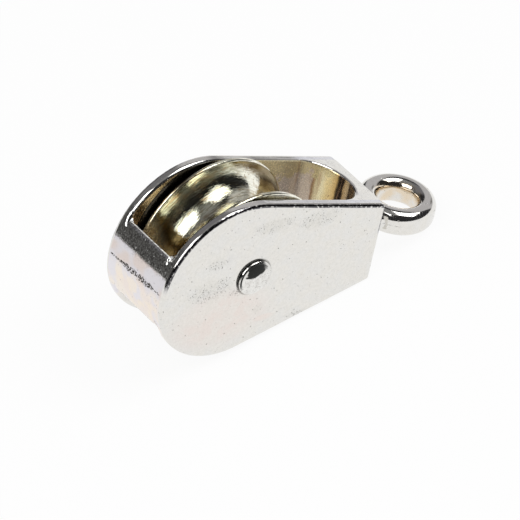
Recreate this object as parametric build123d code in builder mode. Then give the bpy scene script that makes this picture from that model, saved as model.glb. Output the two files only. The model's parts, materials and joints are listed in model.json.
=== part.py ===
import os
from math import acos, asin, atan2, cos, hypot, radians, sin

from build123d import *

# A single pulley block of the fixed-eye kind: a cast frame with two cheeks, a rounded bridge
# and a cast eye, and a grooved sheave that turns on a riveted axle.
#
# Sizes are in millimetres and angles in degrees. The block frame has its origin on the axle
# at mid width, x along the centre line to the eye, y along the axle and z across the
# centre line. The block lies on a bench as it comes to rest, on the rims of the sheave and
# the lower corners of its end face, so the centre line falls towards the eye.

# Sheave
sheave_diameter = 38.0
sheave_width = 14.2
rim_land = 1.0
rim_round = 0.4
sheave_bore_chamfer = 0.6

# Axle rivet
axle_diameter = 6.0
head_diameter = 8.4
head_height = 1.4
head_crown = 0.75
head_round = 0.35

# Frame casting
nose_radius = 19.2
nose_setback = 5.0
end_reach = 33.8
end_height = 19.5
cheek_thickness = 2.5
bridge_thickness = 3.0
end_wall_thickness = 3.5
pocket_corner = 0.3
pocket_draft = 0.5
cheek_round = 0.9
end_round = 0.5
pocket_rim_round = 0.35

# Eye
eye_stand_off = 12.7
eye_hole_diameter = 8.8
eye_bar_width = 4.3
eye_bar_height = 6.2
neck_width = 9.6
neck_height = 5.4
neck_round = 0.8

# Fits and clearances
sheave_side_play = 0.5
sheave_running_play = 0.08
axle_seat_play = 0.03

# Two places closer than this count as one
same_place = 0.001

# Sizes that follow from the ones above
sheave_radius = sheave_diameter / 2
groove_radius = sheave_width / 2 - rim_land
sheave_bore_radius = axle_diameter / 2 + sheave_running_play
pocket_width = sheave_width + 2 * sheave_side_play
frame_width = pocket_width + 2 * cheek_thickness
end_half = end_height / 2
head_seat = frame_width / 2
head_top = head_seat + head_height
head_edge = head_top - head_crown
crown_radius = ((head_diameter / 2) ** 2 + head_crown**2) / (2 * head_crown)

# The straight edges run from the end face to the nose and touch the nose arc
corner_distance = hypot(end_reach + nose_setback, end_half)
corner_angle = atan2(end_half, end_reach + nose_setback)
touch_angle = corner_angle + acos(nose_radius / corner_distance)
edge_slope = radians(90) - touch_angle
touch_x = nose_radius * cos(touch_angle) - nose_setback
touch_z = nose_radius * sin(touch_angle)

# The bench touches the sheave below and the rounded lower corner of the end face
corner_x = end_reach - end_round
corner_z = -end_half + end_round * (1 - sin(edge_slope)) / cos(edge_slope)
lie_angle = atan2(corner_z, corner_x) + asin((sheave_radius - end_round) / hypot(corner_x, corner_z))

# Planes of the block frame as it lies
centre_line = Vector(cos(lie_angle), 0, -sin(lie_angle))
across = Vector(sin(lie_angle), 0, cos(lie_angle))
side = Plane(origin=(0, 0, 0), x_dir=centre_line, z_dir=(0, -1, 0))
parting = Plane(origin=(0, 0, 0), x_dir=centre_line, z_dir=across)
end_face = Plane(origin=centre_line * end_reach, x_dir=(0, 1, 0), z_dir=centre_line)
axle_line = Axis((0, 0, 0), (0, 1, 0))

eye_reach = end_reach + eye_stand_off
eye_mean_radius = (eye_hole_diameter + eye_bar_width) / 2
neck_end = eye_stand_off - eye_mean_radius
eye_start = neck_end - eye_bar_width / 2
eye_section = Plane(origin=centre_line * eye_reach, x_dir=centre_line, z_dir=(0, -1, 0))
eye_axis = Axis(centre_line * eye_reach, across)
pocket_back = bridge_thickness - nose_setback - nose_radius
pocket_front = end_reach - end_wall_thickness
pocket_arc_x = pocket_front - pocket_width / 2


def lies_on(skin, edge):
    """Says whether the middle of an edge, seen along the axle, lies on the side outline."""
    middle = edge @ 0.5
    return skin.distance_to(Vertex(middle.X, 0, middle.Z)) < same_place


def stand_off(edge):
    """Gives how far the middle of an edge stands out from the end face."""
    return end_face.to_local_coords(edge @ 0.5).Z


with BuildPart() as frame:
    # Side outline, carried across the full width
    with BuildSketch(side) as outline:
        with BuildLine():
            Polyline((touch_x, touch_z), (end_reach, end_half), (end_reach, -end_half), (touch_x, -touch_z))
            ThreePointArc((touch_x, -touch_z), (-nose_setback - nose_radius, 0), (touch_x, touch_z))
        make_face()
        fillet(outline.vertices().group_by(Axis.X)[-1], end_round)
    extrude(amount=frame_width / 2, both=True)
    cheek_faces = faces().sort_by(Axis.Y)
    fillet(cheek_faces[0].edges() + cheek_faces[-1].edges(), cheek_round)

    # Neck and eye
    with BuildSketch(end_face.offset(-end_wall_thickness / 2)):
        SlotOverall(neck_width, neck_height)
    extrude(amount=neck_end + end_wall_thickness / 2)
    neck_root = edges(Select.LAST).filter_by(lambda edge: abs(stand_off(edge)) < same_place)
    fillet(neck_root, neck_round)
    with BuildSketch(eye_section):
        with Locations((eye_mean_radius, 0)):
            SlotOverall(eye_bar_height, eye_bar_width, rotation=90)
    revolve(axis=eye_axis)
    eye_seam = edges(Select.LAST).filter_by(lambda edge: eye_start < stand_off(edge) < neck_end)
    fillet(eye_seam, neck_round)

    # Pocket for the sheave and the rope, cored from above and below
    with BuildSketch(parting) as pocket_plan:
        with BuildLine():
            Polyline(
                (pocket_arc_x, pocket_width / 2),
                (pocket_back, pocket_width / 2),
                (pocket_back, -pocket_width / 2),
                (pocket_arc_x, -pocket_width / 2),
            )
            ThreePointArc((pocket_arc_x, -pocket_width / 2), (pocket_front, 0), (pocket_arc_x, pocket_width / 2))
        make_face()
        fillet(pocket_plan.vertices().group_by(Axis.X)[0], pocket_corner)
    extrude(amount=nose_radius, both=True, taper=-pocket_draft, mode=Mode.SUBTRACT)
    skin = outline.sketch.wire()
    pocket_rim = edges(Select.LAST).filter_by(lambda edge: lies_on(skin, edge))
    fillet(pocket_rim, pocket_rim_round)

    # Axle holes through both cheeks
    with BuildSketch(side):
        Circle(axle_diameter / 2 + axle_seat_play)
    extrude(amount=frame_width, both=True, mode=Mode.SUBTRACT)

frame.part.label = "frame"

with BuildPart() as sheave:
    # Half section with the rope groove cut from its outer edge
    with BuildSketch(Plane.YZ) as sheave_section:
        with Locations((0, (sheave_radius + sheave_bore_radius) / 2)):
            Rectangle(sheave_width, sheave_radius - sheave_bore_radius)
        with Locations((0, sheave_radius)):
            Circle(groove_radius, mode=Mode.SUBTRACT)
        chamfer(sheave_section.vertices().group_by(Axis.Y)[0], sheave_bore_chamfer)
        fillet(sheave_section.vertices().group_by(Axis.Y)[-1], rim_round)
    revolve(axis=axle_line)

sheave.part.label = "sheave"

with BuildPart() as axle_rivet:
    # Half section of the shank and its two domed heads
    with BuildSketch(Plane.YZ) as rivet_section:
        with BuildLine():
            Line((head_top, 0), (-head_top, 0))
            RadiusArc((-head_top, 0), (-head_edge, head_diameter / 2), crown_radius)
            Polyline(
                (-head_edge, head_diameter / 2),
                (-head_seat, head_diameter / 2),
                (-head_seat, axle_diameter / 2),
                (head_seat, axle_diameter / 2),
                (head_seat, head_diameter / 2),
                (head_edge, head_diameter / 2),
            )
            RadiusArc((head_edge, head_diameter / 2), (head_top, 0), crown_radius)
        make_face()
        stations = rivet_section.vertices().group_by(Axis.X)
        fillet(stations[1] + stations[-2], head_round)
    revolve(axis=axle_line)

axle_rivet.part.label = "axle_rivet"

os.makedirs("parts", exist_ok=True)
export_step(frame.part, "parts/frame.step")
export_step(sheave.part, "parts/sheave.step")
export_step(axle_rivet.part, "parts/axle_rivet.step")
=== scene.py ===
"""Looks of a single pulley block: a nickel-plated cast frame with an eye, a brass sheave and
a riveted axle, lying on a white table.

Forms are worked out in millimetres in block coordinates: u runs from the axle along the
centre line to the eye, y along the axle, and w across the centre line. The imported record
says how the block lies, and a last step turns the forms into place in metres.
"""

import json
import logging
import math
from dataclasses import dataclass, field
from enum import Enum
from typing import Callable

import bmesh
import bpy
import numpy as np
from bpy.types import Material, Node, NodeSocket, NodeTree, Object
from mathutils import Matrix, Vector

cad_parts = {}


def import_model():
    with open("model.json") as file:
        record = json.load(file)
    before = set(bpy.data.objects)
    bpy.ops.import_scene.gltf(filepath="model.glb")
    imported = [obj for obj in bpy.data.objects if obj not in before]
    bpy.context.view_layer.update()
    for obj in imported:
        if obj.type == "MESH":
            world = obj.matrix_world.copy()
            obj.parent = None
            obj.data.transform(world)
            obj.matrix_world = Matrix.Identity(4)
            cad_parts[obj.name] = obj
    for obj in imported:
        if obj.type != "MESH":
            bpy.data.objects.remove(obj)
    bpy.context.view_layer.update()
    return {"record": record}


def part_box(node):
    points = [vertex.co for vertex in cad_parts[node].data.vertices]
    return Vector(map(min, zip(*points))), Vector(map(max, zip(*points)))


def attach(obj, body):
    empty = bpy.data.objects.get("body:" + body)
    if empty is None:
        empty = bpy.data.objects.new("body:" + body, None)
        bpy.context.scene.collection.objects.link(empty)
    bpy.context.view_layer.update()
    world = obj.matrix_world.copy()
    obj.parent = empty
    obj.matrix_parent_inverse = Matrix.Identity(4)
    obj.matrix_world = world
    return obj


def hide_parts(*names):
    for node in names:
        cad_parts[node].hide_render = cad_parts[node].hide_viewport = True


log = logging.getLogger("pulley_block")

MM = 0.001

# Keeps lengths that divide off zero
TINY = 1e-9

Array = np.ndarray
Shape = Callable[[Array], Array]


# Shapes

@dataclass(frozen=True)
class Attitude:
    """How the block lies: the directions of its centre line and of the eye's axis."""

    centre_line: Array
    across: Array

    @classmethod
    def from_record(cls, record: dict) -> "Attitude":
        """Reads the attitude from the eye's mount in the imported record.

        Args:
            record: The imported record.

        Returns:
            The attitude, with directions of length one.
        """
        eye = next(mount for mount in record["mounts"] if mount["name"] == "eye")
        reach = np.array(eye["pos_m"], dtype=float)
        across = np.array(eye["axis"], dtype=float)
        return cls(reach / np.linalg.norm(reach), across / np.linalg.norm(across))

    def place(self, points: Array) -> Array:
        """Turns block coordinates in millimetres into scene coordinates in metres.

        Args:
            points: Rows of u, y and w.

        Returns:
            Rows of x, y and z.
        """
        axle = np.array([0.0, 1.0, 0.0])
        basis = np.stack([self.centre_line, axle, self.across])
        return points @ basis * MM


def round_join(a: Array, b: Array, cosine: Array, radius: Array) -> Array:
    """Cuts one shape with another and rounds the edge between them.

    Both shapes are distances, negative inside. Where a point is nearer than the radius to
    both skins, it measures its distance from the ball that rolls inside the edge. The ball's
    centre is found from both distances and the cosine of the angle between the normals.

    Args:
        a: Distance from the first skin.
        b: Distance from the second skin.
        cosine: Cosine of the angle between the two outward normals.
        radius: Radius of the round.

    Returns:
        Distance from the joined shape.
    """
    over_a = a + radius
    over_b = b + radius
    in_corner = (over_a > cosine * over_b) & (over_b > cosine * over_a)
    square = over_a**2 + over_b**2 - 2 * cosine * over_a * over_b
    span = np.sqrt(np.maximum(square, 0) / (1 - cosine**2)) - radius
    return np.where(in_corner, span, np.maximum(a, b))


def fillet_join(a: Array, b: Array, cosine: Array, radius: Array) -> Array:
    """Joins two shapes and fills the corner between them with a fillet.

    Args:
        a: Distance from the first skin.
        b: Distance from the second skin.
        cosine: Cosine of the angle between the two outward normals.
        radius: Radius of the fillet.

    Returns:
        Distance from the joined shape.
    """
    return -round_join(-a, -b, cosine, radius)


@dataclass(frozen=True)
class Ripple:
    """Gentle unevenness of a cast or worked skin: a sum of waves in random directions.

    The mean wavelength and the height of the sum are in millimetres.
    """

    wavelength: float
    height: float
    waves: int
    seed: int

    def at(self, points: Array) -> Array:
        """Gives the height of the ripple at each point.

        Each wave is the sine of the point's distance along the wave's direction, turned by
        its own phase, and the heights share the total in equal parts.

        Args:
            points: Rows of three coordinates in millimetres.

        Returns:
            One height for each row.
        """
        draw = np.random.default_rng(self.seed)
        heading = draw.normal(size=(self.waves, 3))
        heading /= np.linalg.norm(heading, axis=1)[:, None]
        turns = 2 * math.pi / (self.wavelength * draw.uniform(0.6, 1.5, self.waves))
        phase = draw.uniform(0, 2 * math.pi, self.waves)
        waves = np.sin(points @ (heading * turns[:, None]).T + phase)
        return self.height * waves.sum(axis=1) / math.sqrt(self.waves)


def slope_of(shape: Shape, points: Array, step: float = 0.002) -> Array:
    """Works out how fast a distance grows along each axis, from differences on both sides.

    Args:
        shape: Function from points to distances.
        points: Rows of three coordinates.
        step: Half the span of each difference.

    Returns:
        Rows of three slopes.
    """
    sides = np.eye(3) * step
    return np.stack([shape(points + side) - shape(points - side) for side in sides], axis=1) / (2 * step)


def settle(
    shape: Shape, points: Array, rounds: int = 8, farthest: float = 0.4, flattest: float = 0.05
) -> Array:
    """Moves points onto the skin of a shape, each along its own slope.

    Args:
        shape: Function from points to distances, zero on the skin.
        points: Rows of three coordinates near the skin.
        rounds: How many steps are made.
        farthest: Longest step.
        flattest: Least square of the slope that counts.

    Returns:
        The moved points.
    """
    for _ in range(rounds):
        slope = slope_of(shape, points)
        steep = np.maximum((slope**2).sum(axis=1), flattest)
        move = slope * (shape(points) / steep)[:, None]
        length = np.maximum(np.linalg.norm(move, axis=1), TINY)
        points = points - move * np.minimum(1, farthest / length)[:, None]
    return points


def between(first: Array, last: Array, levels: Array) -> Array:
    """Fills a strip between two rows of points with straight lines.

    Args:
        first: Points of the first row.
        last: Points of the last row, as many.
        levels: Share of the way from first to last, for each row.

    Returns:
        A grid with one row for each level.
    """
    share = levels[:, None, None]
    return first[None] * (1 - share) + last[None] * share


def eased(share: Array) -> Array:
    """Turns a share into one that starts and stops smoothly, held between 0 and 1."""
    held = np.clip(share, 0, 1)
    return held**2 * (3 - 2 * held)


def rising(value: Array, start: float, run: float) -> Array:
    """Rises straight from 0 at start to 1 over a run, and is flat on both sides."""
    return np.clip((value - start) / run, 0, 1)


def spread(start: float, stop: float, count: int) -> Array:
    """Gives evenly spaced values from start to stop, both included."""
    return np.linspace(start, stop, count + 1)


@dataclass
class MeshBuilder:
    """Gathers grids of points into one mesh."""

    points: list[Array] = field(default_factory=list)
    quads: list[Array] = field(default_factory=list)
    count: int = 0

    def add(self, grid: Array, closed: bool = False) -> None:
        """Adds a grid, with a quad between each four neighbours.

        Args:
            grid: Points by row and column.
            closed: Whether the last column meets the first.
        """
        rows, columns = grid.shape[:2]
        index = np.arange(rows * columns).reshape(rows, columns) + self.count
        if closed:
            index = np.concatenate([index, index[:, :1]], axis=1)
        corners = [index[:-1, :-1], index[1:, :-1], index[1:, 1:], index[:-1, 1:]]
        self.quads.append(np.stack([corner.ravel() for corner in corners], axis=1))
        self.points.append(grid.reshape(-1, 3))
        self.count += rows * columns

    def gathered(self) -> tuple[Array, Array]:
        """Gives all points and all quads."""
        return np.concatenate(self.points), np.concatenate(self.quads)


def weld(points: Array, quads: Array, grain: float = 2e-4) -> tuple[Array, list[list[int]]]:
    """Merges points that share a place and drops corners that merged.

    Args:
        points: Rows of three coordinates.
        quads: Rows of four point numbers.
        grain: Points nearer than this are one.

    Returns:
        The merged points, and the faces as lists of point numbers.
    """
    keys = np.round(points / grain).astype(np.int64)
    _, first, number = np.unique(keys, axis=0, return_index=True, return_inverse=True)
    faces = number.reshape(-1)[quads]
    same = faces == np.roll(faces, 1, axis=1)
    whole = ~same.any(axis=1)
    bent = same.sum(axis=1) == 1
    twins = zip(faces[bent], same[bent])
    triangles = [[n for n, double in zip(face, twin) if not double] for face, twin in twins]
    return points[first], faces[whole].tolist() + triangles


def facing_out(points: Array, faces: list, normals: Array) -> list:
    """Turns round the faces whose corners run clockwise seen from outside.

    Args:
        points: Rows of three coordinates.
        faces: Lists of point numbers.
        normals: Outward normal at each point.

    Returns:
        The faces, all running anticlockwise seen from outside.
    """
    first, second, third, last = (np.array([face[n] for face in faces]) for n in (0, 1, 2, -1))
    turn = np.cross(points[third] - points[first], points[last] - points[second])
    facing = normals[first] + normals[second] + normals[third] + normals[last]
    inward = (turn * facing).sum(axis=1) < 0
    return [face[::-1] if wrong else face for face, wrong in zip(faces, inward)]


def mesh_object(name: str, points: Array, faces: list, normals: Array | None = None) -> Object:
    """Makes a smooth mesh object with outward faces.

    Args:
        name: Name of the object.
        points: Rows of x, y and z in metres.
        faces: Lists of point numbers.
        normals: Exact normal at each point, where they are known.

    Returns:
        The object, linked to the scene.
    """
    mesh = bpy.data.meshes.new(name)
    mesh.from_pydata(points.tolist(), [], faces)
    mesh.validate()
    mesh.shade_smooth()
    if normals is not None:
        mesh.normals_split_custom_set_from_vertices(normals.tolist())
    piece = bpy.data.objects.new(name, mesh)
    bpy.context.scene.collection.objects.link(piece)
    return piece


# Frame casting

@dataclass(frozen=True)
class CastingSizes:
    """Sizes of the casting in millimetres, and its draft in degrees."""

    width: float = 20.2
    nose_radius: float = 19.2
    nose_setback: float = 5.0
    end_reach: float = 33.8
    end_half: float = 9.75
    end_round: float = 0.5
    end_round_outside: float = 0.9
    cheek_round: float = 0.9
    pocket_half: float = 7.6
    pocket_back: float = -21.2
    pocket_front: float = 30.3
    pocket_corner: float = 0.3
    pocket_draft: float = 0.5
    rim_round: float = 0.35
    bridge_wear: float = 0.2
    nose_wear: float = 0.25
    end_wear: float = 0.2
    hole_radius: float = 3.03
    eye_reach: float = 46.5
    eye_mean_radius: float = 6.55
    eye_bar_width: float = 4.3
    eye_bar_height: float = 6.2
    neck_width: float = 9.6
    neck_height: float = 5.4
    neck_round: float = 0.8
    wall_middle: float = 32.05

    @property
    def touch_angle(self) -> float:
        """Angle on the nose arc at which the straight edge touches it."""
        reach = self.end_reach + self.nose_setback
        corner = math.atan2(self.end_half, reach)
        return corner + math.acos(self.nose_radius / math.hypot(reach, self.end_half))

    @property
    def touch(self) -> tuple[float, float]:
        """Cosine and sine of that angle."""
        return math.cos(self.touch_angle), math.sin(self.touch_angle)

    @property
    def pocket_arc(self) -> float:
        """Place of the centre of the pocket's round end."""
        return self.pocket_front - self.pocket_half

    @property
    def draft(self) -> float:
        """How much the pocket widens on each side for each millimetre off the middle."""
        return math.tan(math.radians(self.pocket_draft))

    @property
    def skin_edge(self) -> float:
        """Where the flat side of the skin ends and the cheek's round starts."""
        return self.width / 2 - self.cheek_round

    @property
    def nose_length(self) -> float:
        """Length of the nose arc from its middle to the straight edge."""
        return self.nose_radius * (math.pi - self.touch_angle)

    @property
    def eye_land(self) -> float:
        """Half the height of the straight part of the eye's bar."""
        return (self.eye_bar_height - self.eye_bar_width) / 2


@dataclass
class CastingForm:
    """The casting as one distance, negative inside the metal.

    Attributes:
        sizes: Sizes of the casting.
        ripple: Unevenness of the cast skin.
        flash_height: Height of the thin line that the two mould halves leave.
        flash_width: Width of that line.
        flash_rise: Place of the line across the block, at mid width.
        flash_slant: How much it falls for each millimetre along the axle.
        flash_half: Half its length on the bridge.
        flash_on_eye: Share of its height on the eye.
        flash_ripple: What makes it ragged, within the least and the most share of its height.
        wear_start: Place where the extra rounding from use towards the nose starts, to grow over wear_run.
        end_wear_run: The same at the pocket's round end.
        rim_cosine: Greatest cosine that a round at the pocket's rim is worked out for.
        eye_cosine: The same for the fillet between the neck and the eye.
    """

    sizes: CastingSizes
    ripple: Ripple = Ripple(wavelength=9.0, height=0.012, waves=14, seed=3)
    flash_height: float = 0.07
    flash_width: float = 0.13
    flash_rise: float = 0.45
    flash_slant: float = 0.04
    flash_half: float = 8.9
    flash_on_eye: float = 0.5
    flash_ripple: Ripple = Ripple(wavelength=1.3, height=0.5, waves=8, seed=8)
    flash_least: float = 0.15
    flash_most: float = 2.0
    wear_start: float = 5.0
    wear_run: float = 13.0
    end_wear_run: float = 4.0
    rim_cosine: float = 0.95
    eye_cosine: float = 0.9

    def outline(self, u: Array, y: Array, w: Array) -> tuple[Array, Array]:
        """Measures from the side outline: the nose arc, the straight edges and the end face.

        A point ahead of the touching line measures from the nose circle and one past it
        from the straight edge. The end face then cuts both, with a rounded corner.

        Args:
            u, y, w: Places along the centre line, along the axle and across.

        Returns:
            The distance, and the part of the outward normal that runs along u.
        """
        size = self.sizes
        along, high = u + size.nose_setback, np.abs(w)
        cos_touch, sin_touch = size.touch
        from_centre = np.maximum(np.hypot(along, high), TINY)
        on_arc = along * sin_touch - high * cos_touch < 0
        wedge = np.where(on_arc, from_centre, along * cos_touch + high * sin_touch) - size.nose_radius
        lean = np.where(on_arc, along / from_centre, cos_touch)
        outside = eased((np.abs(y) - size.pocket_half) / size.cheek_round)
        corner = size.end_round + (size.end_round_outside - size.end_round) * outside
        return round_join(wedge, u - size.end_reach, cos_touch, corner), lean

    def pocket(self, u: Array, y: Array, w: Array) -> tuple[Array, Array]:
        """Measures from the pocket: straight walls, a flat back with round corners, a round front.

        Args:
            u, y, w: Places along the centre line, along the axle and across.

        Returns:
            The distance, and the part of the pocket's outward normal that runs along u.
        """
        size = self.sizes
        side = np.abs(y)
        front = u - size.pocket_arc
        past_back = size.pocket_back - u + size.pocket_corner
        past_side = side - size.pocket_half + size.pocket_corner
        corner = np.hypot(np.maximum(past_back, 0), np.maximum(past_side, 0))
        box = corner + np.minimum(np.maximum(past_back, past_side), 0) - size.pocket_corner
        arc = np.hypot(front, side)
        at_front = front > 0
        box_lean = np.where(past_back > 0, -past_back / np.maximum(corner, TINY), 0)
        lean = np.where(at_front, front / np.maximum(arc, TINY), box_lean)
        return np.where(at_front, arc - size.pocket_half, box) - np.abs(w) * size.draft, lean

    def eye(self, u: Array, y: Array, w: Array) -> Array:
        """Measures from the neck and the ring of the eye, with a fillet between them.

        The neck is a bar with round sides. The ring carries a section with round top and
        bottom and a short straight land about the eye's axis.

        Args:
            u, y, w: Places along the centre line, along the axle and across.

        Returns:
            The distance.
        """
        size = self.sizes
        radius = size.neck_height / 2
        wide = np.maximum(np.abs(y) - size.neck_width / 2 + radius, 0)
        from_bar = np.maximum(np.hypot(wide, w), TINY)
        back, side = u - size.eye_reach, np.abs(y)
        from_eye = np.maximum(np.hypot(back, side), TINY)
        out = from_eye - size.eye_mean_radius
        high = np.maximum(np.abs(w) - size.eye_land, 0)
        from_ring = np.maximum(np.hypot(out, high), TINY)
        ring = from_ring - size.eye_bar_width / 2
        ends = np.maximum(size.wall_middle - u, back)
        neck = np.maximum(np.maximum(from_bar - radius, -out), ends)
        cosine = (wide * side * out / from_eye + np.abs(w) * high) / (from_bar * from_ring)
        return fillet_join(neck, ring, np.clip(cosine, -self.eye_cosine, self.eye_cosine), size.neck_round)

    def rim_radius(self, u: Array, y: Array) -> Array:
        """Gives the radius of the pocket's rim, which use has rounded more at the nose and at the end.

        Args:
            u, y: Places along the centre line and along the axle.

        Returns:
            The radius at each place.
        """
        size = self.sizes
        at_nose = eased((self.wear_start - u) / self.wear_run)
        at_side = eased((np.abs(y) - size.pocket_half + 1.0) / 0.9)
        at_end = eased((u - size.pocket_arc) / self.end_wear_run)
        at_bridge = at_nose * (size.bridge_wear + at_side * size.nose_wear)
        return size.rim_round + at_bridge + at_end * size.end_wear

    def distance(self, points: Array) -> Array:
        """Measures from the skin of the casting before its unevenness.

        Args:
            points: Rows of u, y and w.

        Returns:
            The distance of each row, negative inside.
        """
        size = self.sizes
        u, y, w = points.T
        outline, lean = self.outline(u, y, w)
        body = round_join(outline, np.abs(y) - size.width / 2, 0, size.cheek_round)
        pocket, pocket_lean = self.pocket(u, y, w)
        cosine = np.clip(-lean * pocket_lean, -self.rim_cosine, self.rim_cosine)
        body = round_join(body, -pocket, cosine, self.rim_radius(u, y))
        whole = fillet_join(body, self.eye(u, y, w), 0, size.neck_round)
        return np.maximum(whole, size.hole_radius - np.hypot(u, w))

    def relief(self, points: Array) -> Array:
        """Gives the unevenness: ripples that fade at the axle, and the line of the mould halves.

        The line runs round the bridge and the outside of the eye at mid height. Its section
        is a bell curve, and a ripple along it makes it ragged.

        Args:
            points: Rows of u, y and w.

        Returns:
            The height of the skin above its plain form.
        """
        size = self.sizes
        u, y, w = points.T
        away = rising(np.hypot(u, w), size.hole_radius, size.hole_radius)
        on_bridge = rising(-u, 0.6 - size.pocket_back, 0.8) * rising(-np.abs(y), -self.flash_half, 0.4)
        ring_side = np.hypot(u - size.eye_reach, y) - size.eye_mean_radius
        on_eye = rising(u, size.end_reach, 2) * rising(ring_side, 0, 1.2) * self.flash_on_eye
        ragged = 1 + self.flash_ripple.at(points * np.array([1, 1, 0]))
        wander = self.flash_rise - self.flash_slant * y + 0.08 * np.sin(y * 0.9 + 1) + 0.04 * np.sin(y * 2.3)
        bell = np.exp(-(((w - wander * on_bridge) / self.flash_width) ** 2))
        height = self.flash_height * (on_bridge + on_eye) * bell
        flash = height * np.clip(ragged, self.flash_least, self.flash_most)
        return self.ripple.at(points) * away + flash

    def finished(self, points: Array) -> Array:
        """Measures from the skin with its unevenness."""
        return self.distance(points) - self.relief(points)


@dataclass(frozen=True)
class CastingGrid:
    """How many strips each region of the casting's quarter gets, and how their gaps grow.

    The side wall meets as many strips as the cheek does round the axle hole, so twice the
    wall strips equal the sum of the bend, arc, corner and end strips. Only the ratios of
    the gaps count. Rows by the pocket's rim and round the hole start with the finest gap.

    Attributes:
        far_turn: Angle about the eye at which the neck's strips end, in degrees.
        far_girth: Length round the ring's section at which they end.
        crowding: How much the ring's strips crowd towards its outer land.
        corner_shrink: Share by which the end corner is sharper at the cheek, before it settles.
    """

    back: int = 14
    inner_bend: int = 8
    outer_bend: int = 16
    side: int = 80
    outer_arc: int = 16
    front_arc: int = 24
    corner: int = 8
    end: int = 24
    wall: int = 32
    cheek_round: int = 9
    hole: int = 3
    ring: int = 44
    inner_ring: int = 16
    finest: float = 0.05
    rim_rows: int = 14
    hole_rows: int = 9
    hole_gaps: tuple[float, ...] = (1, 1, 1, 0.9, 0.7, 0.5, 0.4)
    rim_gaps: tuple[float, ...] = (0.2, 0.25, 0.3, 0.35, 0.4, 0.5, 0.7, 1, 1.2, 1.2)
    skin_gaps: tuple[float, ...] = (1.1, 1, 0.9, 0.7, 0.5, 0.3, 0.15, 0.1, 0.07, 0.06, 0.05)
    cheek_gaps: tuple[float, ...] = (0.25, 0.35, 0.5, *(0.8,) * 26, 0.6, 0.4, 0.3)
    end_gaps: tuple[float, ...] = (0.15, 0.15, 0.2, 0.2, 0.25, 0.3, 0.4, 0.6, 0.8, 0.8, 0.8, 0.6, 0.4)
    neck_gaps: tuple[float, ...] = (0.12, 0.13, 0.15, 0.18, 0.22, 0.3, 0.4)
    eye_gaps: tuple[float, ...] = (0.1, 0.12, 0.14, 0.17, 0.2, 0.24, 0.3, 0.35, *(0.4,) * 4)
    far_turn: float = 62.0
    far_girth: float = 5.2
    crowding: float = 1.35
    corner_shrink: float = 0.7


def levels(*gaps: float) -> Array:
    """Gives shares of the way from growing gaps, starting at 0 and ending at 1."""
    ends = np.concatenate([[0], np.cumsum(gaps)])
    return ends / ends[-1]


def arc_points(centre: tuple[float, float], radius: float, angles: Array) -> Array:
    """Gives points on a circle.

    Args:
        centre: Centre of the circle.
        radius: Its radius.
        angles: Angles in radians from the first axis.

    Returns:
        Rows of two coordinates.
    """
    return np.stack([centre[0] + radius * np.cos(angles), centre[1] + radius * np.sin(angles)], axis=1)


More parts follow.
